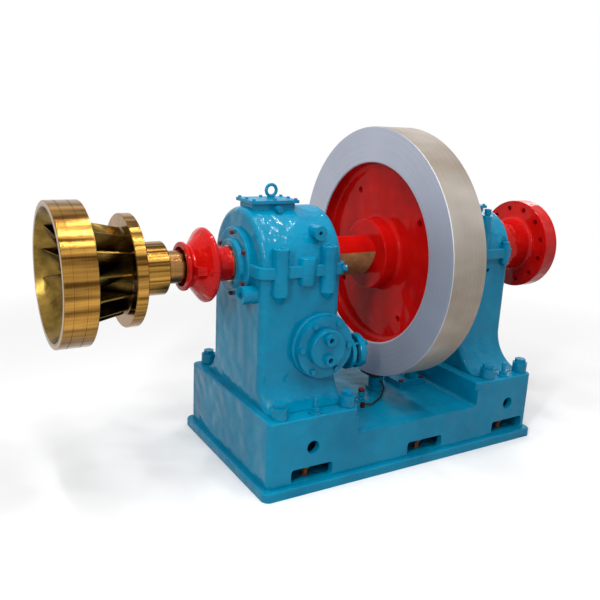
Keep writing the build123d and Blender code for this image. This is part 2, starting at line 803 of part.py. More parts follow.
# Oil cooler cover: bolted flange, domed middle and two screwed water ports
with BuildPart() as cooler_cover:
    with BuildSketch(Plane.XZ.offset(cooler_face)):
        with Locations((cooler_x, cooler_z)):
            Circle(cooler_cover_radius)
    extrude(amount=cooler_flange)
    with BuildSketch(Plane.XZ.offset(cooler_face + cooler_flange)):
        with Locations((cooler_x, cooler_z)):
            Circle(cooler_dome_radius)
    extrude(amount=cooler_dome_height)
    fillet(cooler_cover.faces().sort_by(Axis.Y)[0].edges(), 9.0)
    with BuildSketch(Plane.XZ.offset(cooler_face + cooler_flange + cooler_dome_height - 4.0)):
        with Locations(
            (cooler_x, cooler_z + cooler_port_pitch / 2), (cooler_x, cooler_z - cooler_port_pitch / 2)
        ):
            Circle(port_boss_radius)
    extrude(amount=port_boss_height + 4.0)
    with BuildSketch(Plane.XZ.offset(cooler_face + cooler_flange + cooler_dome_height + port_boss_height)):
        with Locations(
            (cooler_x, cooler_z + cooler_port_pitch / 2), (cooler_x, cooler_z - cooler_port_pitch / 2)
        ):
            Circle(port_hole_radius)
    extrude(amount=-50.0, mode=Mode.SUBTRACT)
    with BuildSketch(Plane.XZ.offset(cooler_face)):
        with Locations((cooler_x, cooler_z)):
            with PolarLocations(cooler_bolt_circle, 6):
                Circle(m16 / 2 + fit_gap)
    extrude(amount=cooler_flange, mode=Mode.SUBTRACT)
cooler_cover.part.label = "cooler_cover"
export_step(cooler_cover.part, "parts/cooler_cover.step")

with BuildPart() as cooler_cover_bolts:
    with Locations(Plane.XZ.offset(cooler_face + cooler_flange)):
        with Locations((cooler_x, cooler_z)):
            with PolarLocations(cooler_bolt_circle, 6):
                add(bolt_m16.part)
cooler_cover_bolts.part.label = "cooler_cover_bolts"
export_step(cooler_cover_bolts.part, "parts/cooler_cover_bolts.step")

with BuildPart() as drain_cover:
    with BuildSketch(Plane.YZ.offset(drain_face)):
        with Locations((drain_y, drain_z)):
            Circle(drain_flange_radius)
            with PolarLocations(drain_screw_circle, 4, start_angle=45.0):
                Circle(m12 / 2 + fit_gap, mode=Mode.SUBTRACT)
    extrude(amount=drain_cover_thickness)
drain_cover.part.label = "drain_cover"
export_step(drain_cover.part, "parts/drain_cover.step")

with BuildPart() as drain_cover_screws:
    with Locations(Plane.YZ.offset(drain_face + drain_cover_thickness)):
        with Locations((drain_y, drain_z)):
            with PolarLocations(drain_screw_circle, 4, start_angle=45.0):
                add(screw_m12.part)
drain_cover_screws.part.label = "drain_cover_screws"
export_step(drain_cover_screws.part, "parts/drain_cover_screws.step")

with BuildPart() as foot_bolts:
    with Locations(*[
        (x, y, foot_top + foot_boss_height)
        for x in foot_stations
        for y in (-foot_bolt_line, foot_bolt_line)
    ]):
        add(bolt_m30.part)
foot_bolts.part.label = "foot_bolts"
export_step(foot_bolts.part, "parts/foot_bolts.step")

with BuildPart() as dowel_pins:
    pin_places = [(x, y) for x in (left_pin_station, right_pin_station) for y in (-pin_line, pin_line)]
    with BuildSketch(Plane.XY.offset(foot_top - pin_depth)):
        with Locations(*pin_places):
            Circle(pin_radius)
    extrude(amount=pin_depth + pin_reach)
    pin_rims = dowel_pins.edges().group_by(Axis.Z)[-1]
    chamfer(pin_rims, 4.0)
    with BuildSketch(Plane.XY.offset(foot_top + pin_boss_height)):
        with Locations(*pin_places):
            RegularPolygon(17.0, 6, major_radius=False)
    extrude(amount=18.0)
dowel_pins.part.label = "dowel_pins"
export_step(dowel_pins.part, "parts/dowel_pins.step")

# Right pedestal: slimmer body with a wide concave flare
with BuildPart() as right_pedestal:
    for angle in flare_angles:
        spread = right_half_width + right_flare_radius * (1 - cos(radians(angle)))
        with BuildSketch(Plane.XY.offset(foot_top + right_flare_radius * (1 - sin(radians(angle))))):
            with Locations((right_centre, 0)):
                RectangleRounded(right_length, 2 * spread, right_corner)
    loft()
    with BuildSketch(Plane.XY.offset(foot_top)):
        with Locations((right_centre, 0)):
            RectangleRounded(right_length, 2 * right_half_width, right_corner)
    extrude(amount=shaft_height - foot_top)
    with BuildSketch(Plane.XY.offset(block_top)):
        with Locations(((right_block_start + body_length / 2) / 2, 0)):
            RectangleRounded(
                body_length / 2 - right_block_start, body_width, body_corner
            )
    extrude(amount=foot_thickness)
    right_foot_rim = right_pedestal.edges().filter_by(
        lambda e: abs(e.center().Z - foot_top) < 1e-3
    ).filter_by(
        lambda e: e.center().X < right_start - 5 or e.center().X > right_end + 5 or abs(e.center().Y) > 390
    )
    fillet(right_foot_rim, foot_edge)
    with BuildSketch(Plane.XY.offset(foot_top)):
        with Locations(*[(x, y) for x in right_foot_stations for y in (-foot_bolt_line, foot_bolt_line)]):
            Circle(foot_boss_radius)
    extrude(amount=foot_boss_height)
    with BuildSketch(Plane.XY.offset(foot_top)):
        with Locations(*[(right_pin_station, y) for y in (-pin_line, pin_line)]):
            Circle(pin_boss_radius)
    extrude(amount=pin_boss_height)
    with BuildSketch(Plane.XY.offset(shaft_height)):
        with Locations((right_centre, 0)):
            RectangleRounded(
                right_length + 2 * right_flange_reach,
                2 * (right_half_width + flange_reach),
                right_corner + right_flange_reach,
            )
    extrude(amount=-split_flange)
    right_flange_rim = right_pedestal.edges().filter_by(
        lambda e: abs(e.center().Z - shaft_height + split_flange) < 1e-3
    ).filter_by(
        lambda e: abs(e.center().X - right_centre) > right_length / 2 + 1
        or abs(e.center().Y) > right_half_width + 1
    )
    fillet(right_flange_rim, flange_edge)
    with BuildSketch(Plane.XY.offset(shaft_height)):
        with Locations(*[(x, y) for x in right_column_stations for y in (-right_column_line, right_column_line)]):
            Circle(right_column_radius)
    extrude(amount=right_column_foot - shaft_height)
    with Locations(*[
        (x, y, right_column_foot) for x in right_column_stations for y in (-right_column_line, right_column_line)
    ]):
        Cone(12.0, right_column_radius, 14.0, align=(Align.CENTER, Align.CENTER, Align.MAX))
    with BuildSketch(Plane.YZ.offset(right_start)):
        with Locations((0, shaft_height)):
            Circle(right_cover_radius + fit_gap)
    extrude(amount=-60.0, mode=Mode.SUBTRACT)
    with BuildSketch(Plane.YZ.offset(right_start)):
        with Locations((0, shaft_height)):
            Circle(chamber_radius)
            with PolarLocations(right_cover_bolt_circle, 6, start_angle=30.0):
                Circle(m12 / 2 + fit_gap)
    extrude(amount=cover_screw_depth, mode=Mode.SUBTRACT)
    with BuildSketch(Plane.YZ.offset(right_start)):
        with Locations((0, shaft_height)):
            Circle(chamber_radius)
    extrude(amount=right_length - end_wall, mode=Mode.SUBTRACT)
    with BuildSketch(Plane.YZ.offset(right_start)):
        with Locations((0, shaft_height)):
            Circle(journal_radius + seal_gap)
    extrude(amount=right_length + 60.0, mode=Mode.SUBTRACT)
    with BuildSketch(Plane.YZ.offset(right_centre - right_shell_length / 2)):
        with Locations((0, shaft_height)):
            Circle(shell_radius + fit_gap)
    extrude(amount=right_shell_length, mode=Mode.SUBTRACT)
    with BuildSketch(Plane.XY.offset(foot_top + foot_boss_height)):
        with Locations(*[(x, y) for x in right_foot_stations for y in (-foot_bolt_line, foot_bolt_line)]):
            Circle(m30 / 2 + bolt_hole_gap)
    extrude(amount=-(foot_thickness + foot_boss_height), mode=Mode.SUBTRACT)
    with BuildSketch(Plane.XY.offset(foot_top + pin_boss_height)):
        with Locations(*[(right_pin_station, y) for y in (-pin_line, pin_line)]):
            Circle(pin_radius + fit_gap)
    extrude(amount=-(foot_thickness + pin_boss_height), mode=Mode.SUBTRACT)
    with BuildSketch(Plane.XY.offset(shaft_height)):
        with Locations(*[(x, y) for x in right_column_stations for y in (-right_column_line, right_column_line)]):
            Circle(m24 / 2 + fit_gap)
    extrude(amount=-right_thread_depth, mode=Mode.SUBTRACT)
    with BuildSketch(Plane.XZ.offset(right_half_width)):
        with Locations((right_centre + 3.0, right_port_z)):
            Circle(right_port_radius)
    extrude(amount=-40.0, mode=Mode.SUBTRACT)
right_pedestal.part.label = "right_pedestal"
export_step(right_pedestal.part, "parts/right_pedestal.step")

with BuildPart() as right_pedestal_cap:
    with BuildSketch(Plane.YZ.offset(right_start)):
        with BuildLine():
            CenterArc((0, shaft_height), right_half_width, 0, 180)
            Line((-right_half_width, shaft_height), (right_half_width, shaft_height))
        make_face()
    extrude(amount=right_length)
    right_end_arcs = right_pedestal_cap.edges().filter_by(GeomType.CIRCLE)
    fillet(right_end_arcs, 20.0)
    with BuildSketch(Plane.XY.offset(shaft_height)):
        with Locations((right_centre, 0)):
            RectangleRounded(
                right_length + 2 * right_flange_reach,
                2 * (right_half_width + flange_reach),
                right_corner + right_flange_reach,
            )
    extrude(amount=split_flange)
    right_cap_rim = right_pedestal_cap.edges().filter_by(
        lambda e: abs(e.center().Z - shaft_height - split_flange) < 1e-3
    ).filter_by(
        lambda e: abs(e.center().X - right_centre) > right_length / 2 + 1
        or abs(e.center().Y) > right_half_width + 1
    )
    fillet(right_cap_rim, flange_edge)
    with BuildSketch(Plane.XY.offset(shaft_height)):
        with Locations(*[(x, y) for x in right_column_stations for y in (-right_column_line, right_column_line)]):
            Circle(right_column_radius)
    extrude(amount=right_column_top - shaft_height)
    with BuildSketch(Plane.XY.offset(right_cap_top)):
        with Locations((right_plate_x, 0)):
            RectangleRounded(right_plate_length - 24.0, right_plate_width - 24.0, 10.0)
    extrude(amount=-60.0)
    with BuildSketch(Plane.YZ.offset(ring_box_start)):
        with BuildLine():
            Polyline(
                (-right_half_width, shaft_height),
                (-right_half_width, shaft_height + 112.0),
                (-right_half_width + 60.0, shaft_height + 168.0),
                (right_half_width - 60.0, shaft_height + 168.0),
                (right_half_width, shaft_height + 112.0),
                (right_half_width, shaft_height),
                close=True,
            )
        make_face()
    extrude(amount=ring_box_end - ring_box_start)
    with BuildSketch(Plane.YZ.offset(right_start)):
        with Locations((0, shaft_height)):
            Circle(right_cover_radius + fit_gap)
    extrude(amount=-60.0, mode=Mode.SUBTRACT)
    with BuildSketch(Plane.YZ.offset(right_start)):
        with Locations((0, shaft_height)):
            Circle(chamber_radius)
            with PolarLocations(right_cover_bolt_circle, 6, start_angle=30.0):
                Circle(m12 / 2 + fit_gap)
    extrude(amount=cover_screw_depth, mode=Mode.SUBTRACT)
    with BuildSketch(Plane.YZ.offset(right_start)):
        with Locations((0, shaft_height)):
            Circle(chamber_radius)
    extrude(amount=right_length - end_wall, mode=Mode.SUBTRACT)
    with BuildSketch(Plane.YZ.offset(right_start)):
        with Locations((0, shaft_height)):
            Circle(journal_radius + seal_gap)
    extrude(amount=right_length + 60.0, mode=Mode.SUBTRACT)
    with BuildSketch(Plane.YZ.offset(right_centre - right_shell_length / 2)):
        with Locations((0, shaft_height)):
            Circle(shell_radius + fit_gap)
    extrude(amount=right_shell_length, mode=Mode.SUBTRACT)
    with BuildSketch(Plane.XY.offset(shaft_height)):
        with Locations(*[(x, y) for x in right_column_stations for y in (-right_column_line, right_column_line)]):
            Circle(m24 / 2 + bolt_hole_gap)
    extrude(amount=right_column_top - shaft_height, mode=Mode.SUBTRACT)
    with BuildSketch(Plane.XY.offset(right_column_top)):
        with Locations(*[(x, y) for x in right_column_stations for y in (-right_column_line, right_column_line)]):
            Circle(23.0)
    extrude(amount=40.0, mode=Mode.SUBTRACT)
    with BuildSketch(Plane.XY.offset(right_cap_top)):
        with Locations((right_plate_x, 0)):
            RectangleRounded(right_plate_length - 60.0, right_plate_width - 50.0, 8.0)
    extrude(amount=-60.0, mode=Mode.SUBTRACT)
right_pedestal_cap.part.label = "right_pedestal_cap"
export_step(right_pedestal_cap.part, "parts/right_pedestal_cap.step")

with BuildPart() as right_cap_bolts:
    with Locations(*[
        (x, y, right_column_top)
        for x in right_column_stations
        for y in (-right_column_line, right_column_line)
    ]):
        add(bolt_m24_short.part)
right_cap_bolts.part.label = "right_cap_bolts"
export_step(right_cap_bolts.part, "parts/right_cap_bolts.step")

with BuildPart() as right_top_cover:
    with BuildSketch(Plane.XY.offset(right_cap_top)):
        with Locations((right_plate_x, 0)):
            RectangleRounded(right_plate_length, right_plate_width, 6.0)
    extrude(amount=cover_plate_thickness)
right_top_cover.part.label = "right_top_cover"
export_step(right_top_cover.part, "parts/right_top_cover.step")

# Brake: plate, jack, curved shoe and oil pipe under the flywheel
with BuildPart() as brake_plate:
    with BuildSketch(Plane.XY.offset(middle_top)):
        with Locations(((brake_plate_start + brake_plate_end) / 2, 0)):
            RectangleRounded(brake_plate_end - brake_plate_start, 2 * brake_plate_half_width, 10.0)
        with Locations(*[(x, y) for x in brake_bolt_stations for y in (-brake_bolt_line, brake_bolt_line)]):
            Circle(m16 / 2 + fit_gap, mode=Mode.SUBTRACT)
    extrude(amount=brake_plate_top - middle_top)
brake_plate.part.label = "brake_plate"
export_step(brake_plate.part, "parts/brake_plate.step")

with BuildPart() as brake_plate_bolts:
    with Locations(*[
        (x, y, brake_plate_top) for x in brake_bolt_stations for y in (-brake_bolt_line, brake_bolt_line)
    ]):
        add(bolt_m16.part)
brake_plate_bolts.part.label = "brake_plate_bolts"
export_step(brake_plate_bolts.part, "parts/brake_plate_bolts.step")

with BuildPart() as brake_jack:
    with BuildSketch(Plane.XY.offset(middle_top)):
        with Locations((jack_x, 0)):
            Circle(jack_flange_radius)
    extrude(amount=jack_flange_height)
    with BuildSketch(Plane.XY.offset(middle_top)):
        with Locations((jack_x, 0)):
            Circle(jack_radius)
    extrude(amount=jack_top - middle_top)
    with BuildSketch(Plane.XY.offset(jack_top)):
        with Locations((jack_x, 0)):
            Circle(ram_radius)
    extrude(amount=shoe_bottom - jack_top)
brake_jack.part.label = "brake_jack"
export_step(brake_jack.part, "parts/brake_jack.step")

with BuildPart() as brake_shoe:
    with BuildSketch(Plane.XY.offset(shoe_bottom)):
        with Locations((jack_x, 0)):
            RectangleRounded(shoe_length, shoe_width, 8.0)
    extrude(amount=shoe_thickness)
    with BuildSketch(Plane.YZ.offset(jack_x - shoe_length)):
        with Locations((0, shaft_height)):
            Circle(flywheel_radius + brake_gap)
    extrude(amount=2 * shoe_length, mode=Mode.SUBTRACT)
brake_shoe.part.label = "brake_shoe"
export_step(brake_shoe.part, "parts/brake_shoe.step")

with BuildPart() as brake_oil_cup:
    with BuildSketch(Plane.XY.offset(brake_plate_top)):
        with Locations((oil_cup_x, oil_cup_y)):
            Circle(oil_cup_radius)
    extrude(amount=oil_cup_height)
    with BuildSketch(Plane.XY.offset(brake_plate_top + oil_cup_height)):
        with Locations((oil_cup_x, oil_cup_y)):
            RegularPolygon(18.0, 6, major_radius=False)
    extrude(amount=12.0)
brake_oil_cup.part.label = "brake_oil_cup"
export_step(brake_oil_cup.part, "parts/brake_oil_cup.step")

with BuildPart() as brake_pipe_union:
    with BuildSketch(Plane.XY.offset(middle_top)):
        with Locations((union_x, union_y)):
            Circle(union_radius)
    extrude(amount=24.0)
brake_pipe_union.part.label = "brake_pipe_union"
export_step(brake_pipe_union.part, "parts/brake_pipe_union.step")

with BuildPart() as brake_pipe:
    with BuildLine():
        pipe_start = (jack_x, -jack_radius, middle_top + 46.0)
        pipe_path = Spline(
            pipe_start,
            (jack_x - 6.0, -74.0, middle_top + 32.0),
            (40.0, -116.0, middle_top + 12.0),
            (-39.0, -172.0, middle_top + 10.0),
            (-87.0, -196.0, middle_top + 10.0),
            (union_x + union_radius, union_y, middle_top + 12.0),
            tangents=((0, -1, 0), (-1, 0, 0)),
        )
    with BuildSketch(Plane(origin=pipe_start, z_dir=(0, -1, 0))):
        Circle(pipe_radius)
    sweep()
brake_pipe.part.label = "brake_pipe"
export_step(brake_pipe.part, "parts/brake_pipe.step")

# One Francis blade: quadrilateral sections carried from the inlet edge to the outlet edge,
# the inner end on the crown line, the outer end on the band line, wrapping round the shaft
def bezier(first, control, last, t):
    return tuple(a * (1 - t) ** 2 + 2 * b * t * (1 - t) + c * t**2 for a, b, c in zip(first, control, last))


def blade_point(line, wrap, t):
    x, radius = bezier(*line, t)
    angle = radians(wrap) * t**1.5
    return Vector(x, -radius * sin(angle), shaft_height + radius * cos(angle))


with BuildPart() as runner_blade:
    for station in range(blade_stations):
        t = station / (blade_stations - 1)
        inner = blade_point(crown_line, blade_wrap_hub, t)
        outer = blade_point(band_line, blade_wrap_tip, t)
        ahead = blade_point(crown_line, blade_wrap_hub, t + 0.02) + blade_point(band_line, blade_wrap_tip, t + 0.02)
        span = outer - inner
        normal = span.cross(ahead - inner - outer).normalized()
        thickness = blade_thickness * (1.0 - 0.45 * t)
        with BuildSketch(Plane(origin=(inner + outer) / 2, x_dir=span, z_dir=span.cross(normal))):
            Rectangle(span.length, thickness)
    loft()

# Runner cast in one piece: crown with hub, thirteen blades and the outer band
with BuildPart() as runner:
    with BuildSketch(Plane.XZ):
        with BuildLine():
            hub_start = (nose_end, shaft_height + nose_radius)
            hub_finish = (crown_face, shaft_height + crown_inlet_radius)
            Polyline(
                *outline(
                    (nose_end, nose_radius),
                    (nose_end, nose_thread_radius + shrink_gap),
                    (nose_end + 40.0, nose_thread_radius + shrink_gap),
                    (nose_end + 40.0, runner_seat_radius + shrink_gap),
                    (runner_hub_end, runner_seat_radius + shrink_gap),
                    (runner_hub_end, runner_hub_radius - 4.0),
                    (runner_hub_end - 4.0, runner_hub_radius),
                    (crown_back + 16.0, runner_hub_radius),
                    (crown_back + 5.0, runner_hub_radius + 5.0),
                    (crown_back, runner_hub_radius + 16.0),
                    (crown_back, crown_radius - turned_edge),
                    (crown_back - turned_edge, crown_radius),
                    (crown_face + turned_edge, crown_radius),
                    (crown_face, crown_radius - turned_edge),
                    (crown_face, crown_inlet_radius),
                )
            )
            Spline(
                hub_finish,
                (crown_face - 48.0, shaft_height + 118.0),
                (crown_face - 100.0, shaft_height + 84.0),
                hub_start,
                tangents=((-0.6, -1.0), (-1.0, -0.22)),
            )
        make_face()
    revolve(axis=shaft_axis)
    with BuildSketch(Plane.XZ):
        with BuildLine():
            Polyline(
                *outline(
                    (band_start, band_outlet_radius),
                    (band_start, band_radius - turned_edge),
                    (band_start + turned_edge, band_radius),
                    *[
                        (groove + x, band_radius - depth)
                        for groove in band_grooves
                        for x, depth in ((0, 0), (0, groove_depth), (groove_width, groove_depth), (groove_width, 0))
                    ],
                    (band_end - turned_edge, band_radius),
                    (band_end, band_radius - turned_edge),
                    (band_end, band_inlet_radius),
                )
            )
            Spline(
                (band_end, shaft_height + band_inlet_radius),
                (band_end - 45.0, shaft_height + band_inlet_radius + 16.0),
                (band_start + 30.0, shaft_height + band_outlet_radius - 12.0),
                (band_start, shaft_height + band_outlet_radius),
                tangents=((-1.0, 0.15), (-1.0, 0.4)),
            )
        make_face()
    revolve(axis=shaft_axis)
    for blade in range(blade_count):
        add(runner_blade.part.rotate(shaft_axis, blade * 360.0 / blade_count))
runner.part.label = "runner"
export_step(runner.part, "parts/runner.step")

with BuildPart() as runner_cone:
    with BuildSketch(Plane.XZ):
        with BuildLine():
            Polyline(
                *outline(
                    (nose_end, nose_thread_radius + shrink_gap),
                    (nose_end, nose_radius - 2.0),
                    (nose_end - 34.0, 46.0),
                    (nose_end - 46.0, 24.0),
                    (nose_end - 46.0, 0),
                    (nose_end - 12.0, 0),
                    (nose_end - 12.0, nose_thread_radius + shrink_gap),
                ),
                close=True,
            )
        make_face()
    revolve(axis=shaft_axis)
runner_cone.part.label = "runner_cone"
export_step(runner_cone.part, "parts/runner_cone.step")

# Stepped shaft with two journals
with BuildPart() as shaft:
    with BuildSketch(Plane.XZ):
        with BuildLine():
            Polyline(
                *outline(
                    (nose_end - 10.0, 0),
                    (nose_end - 10.0, nose_thread_radius),
                    (nose_end + 40.0, nose_thread_radius),
                    (nose_end + 40.0, runner_seat_radius),
                    (runner_hub_end, runner_seat_radius),
                    (runner_hub_end, sleeve_bore_radius),
                    (left_journal_start, sleeve_bore_radius),
                    (left_journal_start, journal_radius),
                    (middle_shaft_start, journal_radius),
                    (middle_shaft_start, middle_shaft_radius),
                    (middle_shaft_end, middle_shaft_radius),
                    (middle_shaft_end, journal_radius),
                    (coupling_start, journal_radius),
                    (coupling_start, coupling_seat_radius),
                    (coupling_end - 4.0, coupling_seat_radius),
                    (coupling_end - 4.0, 0),
                ),
                close=True,
            )
        make_face()
    revolve(axis=shaft_axis)
shaft.part.label = "shaft"
export_step(shaft.part, "parts/shaft.step")

with BuildPart() as shaft_sleeve:
    with BuildSketch(Plane.XZ):
        with BuildLine():
            Polyline(
                *outline(
                    (runner_hub_end, sleeve_bore_radius + shrink_gap),
                    (runner_hub_end, sleeve_radius),
                    (left_journal_start, sleeve_radius),
                    (left_journal_start, sleeve_bore_radius + shrink_gap),
                ),
                close=True,
            )
        make_face()
    revolve(axis=shaft_axis)
shaft_sleeve.part.label = "shaft_sleeve"
export_step(shaft_sleeve.part, "parts/shaft_sleeve.step")

# Water slinger clamped round the sleeve in two halves
with BuildPart() as water_slinger:
    with BuildSketch(Plane.XZ) as slinger_section:
        with BuildLine():
            Polyline(
                *outline(
                    (slinger_start, 84.0),
                    (slinger_start, slinger_collar_radius),
                    (slinger_start + 15.0, slinger_collar_radius),
                    (slinger_start + 28.0, 90.0),
                    (slinger_start + 40.0, 90.0),
                    (slinger_start + 88.0, slinger_radius - 8.0),
                    (slinger_start + 98.0, slinger_radius),
                    (slinger_start + 110.0, slinger_radius),
                    (slinger_start + 120.0, slinger_radius - 8.0),
                    (slinger_start + 148.0, 84.0),
                    (slinger_start + 160.0, 75.0),
                    (slinger_end, 75.0),
                    (slinger_end, sleeve_radius + shrink_gap),
                    (slinger_start + 30.0, sleeve_radius + shrink_gap),
                    (slinger_start + 30.0, 84.0),
                ),
                close=True,
            )
        make_face()
        for x in (slinger_start, slinger_start + 15.0):
            fillet(corner(slinger_section, x, slinger_collar_radius), 5.0)
    revolve(axis=shaft_axis)
    with Locations(*[(slinger_start + 52.0, side * slinger_ear_line, shaft_height) for side in (-1, 1)]):
        Box(46.0, 40.0, 34.0)
    with Locations(((slinger_start + slinger_end) / 2, 0, shaft_height)):
        Box(slinger_end - slinger_start + 10.0, 2 * slinger_radius + 10.0, 1.0, mode=Mode.SUBTRACT)
water_slinger.part.label = "water_slinger"
export_step(water_slinger.part, "parts/water_slinger.step")

# Flywheel: heavy rim, dished web and a hub proud of the rim on both sides
with BuildPart() as flywheel:
    with BuildSketch(Plane.XZ) as flywheel_section:
        with BuildLine():
            Polyline(
                *outline(
                    (flywheel_start - hub_reach, middle_shaft_radius + shrink_gap),
                    (flywheel_start - hub_reach, hub_radius),
                    (web_start, hub_radius),
                    (web_start, rim_inner_radius),
                    (flywheel_start, rim_inner_radius),
                    (flywheel_start, flywheel_radius),
                    (flywheel_end, flywheel_radius),
                    (flywheel_end, rim_inner_radius),
                    (web_end, rim_inner_radius),
                    (web_end, hub_radius),
                    (flywheel_end + hub_reach, hub_radius),
                    (flywheel_end + hub_reach, middle_shaft_radius + shrink_gap),
                ),
                close=True,
            )
        make_face()
        for x in (web_start, web_end):
            fillet(corner(flywheel_section, x, rim_inner_radius), 22.0)
            fillet(corner(flywheel_section, x, hub_radius), 22.0)
        for x in (flywheel_start, flywheel_end):
            fillet(corner(flywheel_section, x, rim_inner_radius), 9.0)
            chamfer(corner(flywheel_section, x, flywheel_radius), turned_edge)
        for x in (flywheel_start - hub_reach, flywheel_end + hub_reach):
            fillet(corner(flywheel_section, x, hub_radius), 7.0)
    revolve(axis=shaft_axis)
    with BuildSketch(across(0)):
        with PolarLocations(web_hole_circle, 4, start_angle=90.0 - web_hole_angle):
            Circle(web_hole_radius)
    extrude(amount=-200.0, mode=Mode.SUBTRACT)
flywheel.part.label = "flywheel"
export_step(flywheel.part, "parts/flywheel.step")

# Coupling half: neck and flange with twelve bolt holes
with BuildPart() as coupling:
    with BuildSketch(Plane.XZ) as coupling_section:
        with BuildLine():
            Polyline(
                *outline(
                    (coupling_start, coupling_seat_radius + shrink_gap),
                    (coupling_start, coupling_neck_radius),
                    (coupling_face, coupling_neck_radius),
                    (coupling_face, coupling_radius),
                    (coupling_end, coupling_radius),
                    (coupling_end, coupling_seat_radius + shrink_gap),
                ),
                close=True,
            )
        make_face()
        fillet(corner(coupling_section, coupling_face, coupling_neck_radius), 24.0)
        chamfer(corner(coupling_section, coupling_start, coupling_neck_radius), turned_edge)
        for x in (coupling_face, coupling_end):
            chamfer(corner(coupling_section, x, coupling_radius), turned_edge)
    revolve(axis=shaft_axis)
    with BuildSketch(Plane.YZ.offset(coupling_face)):
        with Locations((0, shaft_height)):
            with PolarLocations(coupling_hole_circle, coupling_holes, start_angle=15.0):
                Circle(coupling_hole_radius)
    extrude(amount=coupling_end - coupling_face, mode=Mode.SUBTRACT)
coupling.part.label = "coupling"
export_step(coupling.part, "parts/coupling.step")
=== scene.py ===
# %% [markdown]
# The CAD model comes in as a fixed frame: every casting, bolt and turned part is already in place, in
# metres, with X along the shaft and Z up. This file gives it paint, metal and the small pieces that a
# fitter would add. Loading comes first.

# %% Load the frame
import json
from math import cos, radians, sin

import bmesh
import bpy
from mathutils import Matrix, Vector


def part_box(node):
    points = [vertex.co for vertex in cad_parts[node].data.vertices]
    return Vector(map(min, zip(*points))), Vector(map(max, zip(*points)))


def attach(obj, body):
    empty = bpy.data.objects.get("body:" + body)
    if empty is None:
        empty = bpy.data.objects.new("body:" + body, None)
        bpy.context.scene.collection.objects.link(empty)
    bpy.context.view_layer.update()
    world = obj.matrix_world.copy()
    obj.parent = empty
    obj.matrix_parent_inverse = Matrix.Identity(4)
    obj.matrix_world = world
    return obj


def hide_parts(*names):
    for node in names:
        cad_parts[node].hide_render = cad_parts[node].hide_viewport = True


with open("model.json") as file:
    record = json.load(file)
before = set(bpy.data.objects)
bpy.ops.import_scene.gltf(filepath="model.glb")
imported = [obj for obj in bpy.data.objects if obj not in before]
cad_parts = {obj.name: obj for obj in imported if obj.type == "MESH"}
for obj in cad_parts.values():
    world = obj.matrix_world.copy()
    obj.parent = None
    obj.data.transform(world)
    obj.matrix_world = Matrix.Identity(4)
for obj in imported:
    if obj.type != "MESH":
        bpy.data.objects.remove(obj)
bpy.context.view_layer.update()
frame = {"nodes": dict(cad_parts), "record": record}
shaft_height = 0.930

# %% [markdown]
# Every finish needs the same start: a material with one Principled shader. A small helper makes it and
# hands back the node tree, so that each finish below reads as a short list of what is special about it.
# Colours are picked as on a screen, so a second helper turns them into the linear light that a shader works
# in.

# %% Helpers for a new finish and its colours
def new_finish(name, roughness, metallic=0.0, gloss=0.5):
    finish = bpy.data.materials.new(name)
    finish.use_nodes = True
    nodes = finish.node_tree.nodes
    shader = nodes["Principled BSDF"]
    shader.inputs["Roughness"].default_value = roughness
    shader.inputs["Metallic"].default_value = metallic
    shader.inputs["Specular IOR Level"].default_value = gloss
    return finish, nodes, finish.node_tree.links, shader


def srgb(red, green, blue):
    def linear(value):
        value /= 255.0
        return value / 12.92 if value <= 0.04045 else ((value + 0.055) / 1.055) ** 2.4

    return (linear(red), linear(green), linear(blue), 1.0)


enamel_blue, enamel_blue_shade = srgb(0, 132, 168), srgb(0, 112, 148)
enamel_red, enamel_red_shade = srgb(198, 16, 12), srgb(160, 9, 8)
print("enamel blue in linear light:", [round(value, 3) for value in enamel_blue])

# %% [markdown]
# A finish is a chain of small nodes: noise, arithmetic, a blend of two colours and a change of range. One
# short helper for each keeps the chains readable, because each then takes one line and says what it is for.
# Two more split up a point's place on the model and the way that its face looks, in X, Y and Z.

# %% Helpers for nodes
def add_noise(nodes, links, vector, scale, detail, roughness=0.5):
    noise = nodes.new("ShaderNodeTexNoise")
    noise.inputs["Scale"].default_value = scale
    noise.inputs["Detail"].default_value = detail
    noise.inputs["Roughness"].default_value = roughness
    links.new(vector, noise.inputs["Vector"])
    return noise.outputs["Fac"]


def add_math(nodes, links, operation, first, second=None, third=None):
    node = nodes.new("ShaderNodeMath")
    node.operation = operation
    for socket, value in zip(node.inputs, (first, second, third)):
        if value is None:
            continue
        if isinstance(value, (int, float)):
            socket.default_value = value
        else:
            links.new(value, socket)
    return node.outputs[0]


def add_mix(nodes, links, factor, first, second):
    node = nodes.new("ShaderNodeMix")
    node.data_type = "RGBA"
    links.new(factor, node.inputs["Factor"])
    for value, label in ((first, "A"), (second, "B")):
        socket = next(item for item in node.inputs if item.name == label and item.type == "RGBA")
        if isinstance(value, tuple):
            socket.default_value = value
        else:
            links.new(value, socket)
    return next(item for item in node.outputs if item.type == "RGBA")


def add_range(nodes, links, value, low, high, to_low, to_high):
    node = nodes.new("ShaderNodeMapRange")
    links.new(value, node.inputs["Value"])
    node.inputs["From Min"].default_value = low
    node.inputs["From Max"].default_value = high
    node.inputs["To Min"].default_value = to_low
    node.inputs["To Max"].default_value = to_high
    return node.outputs["Result"]


def split_object_place(nodes, links):
    place = nodes.new("ShaderNodeTexCoord").outputs["Object"]
    split = nodes.new("ShaderNodeSeparateXYZ")
    links.new(place, split.inputs[0])
    return place, split.outputs[0], split.outputs[1], split.outputs[2]


def split_face_way(nodes, links):
    split = nodes.new("ShaderNodeSeparateXYZ")
    links.new(nodes.new("ShaderNodeTexCoord").outputs["Normal"], split.inputs[0])
    return split.outputs[0], split.outputs[1], split.outputs[2]


print("node helpers are ready")

# %% [markdown]
# An effect that several finishes share is best kept as a node group: it is made once, and each material
# then sets its inputs to its own values. This helper opens an empty group with named inputs and outputs.

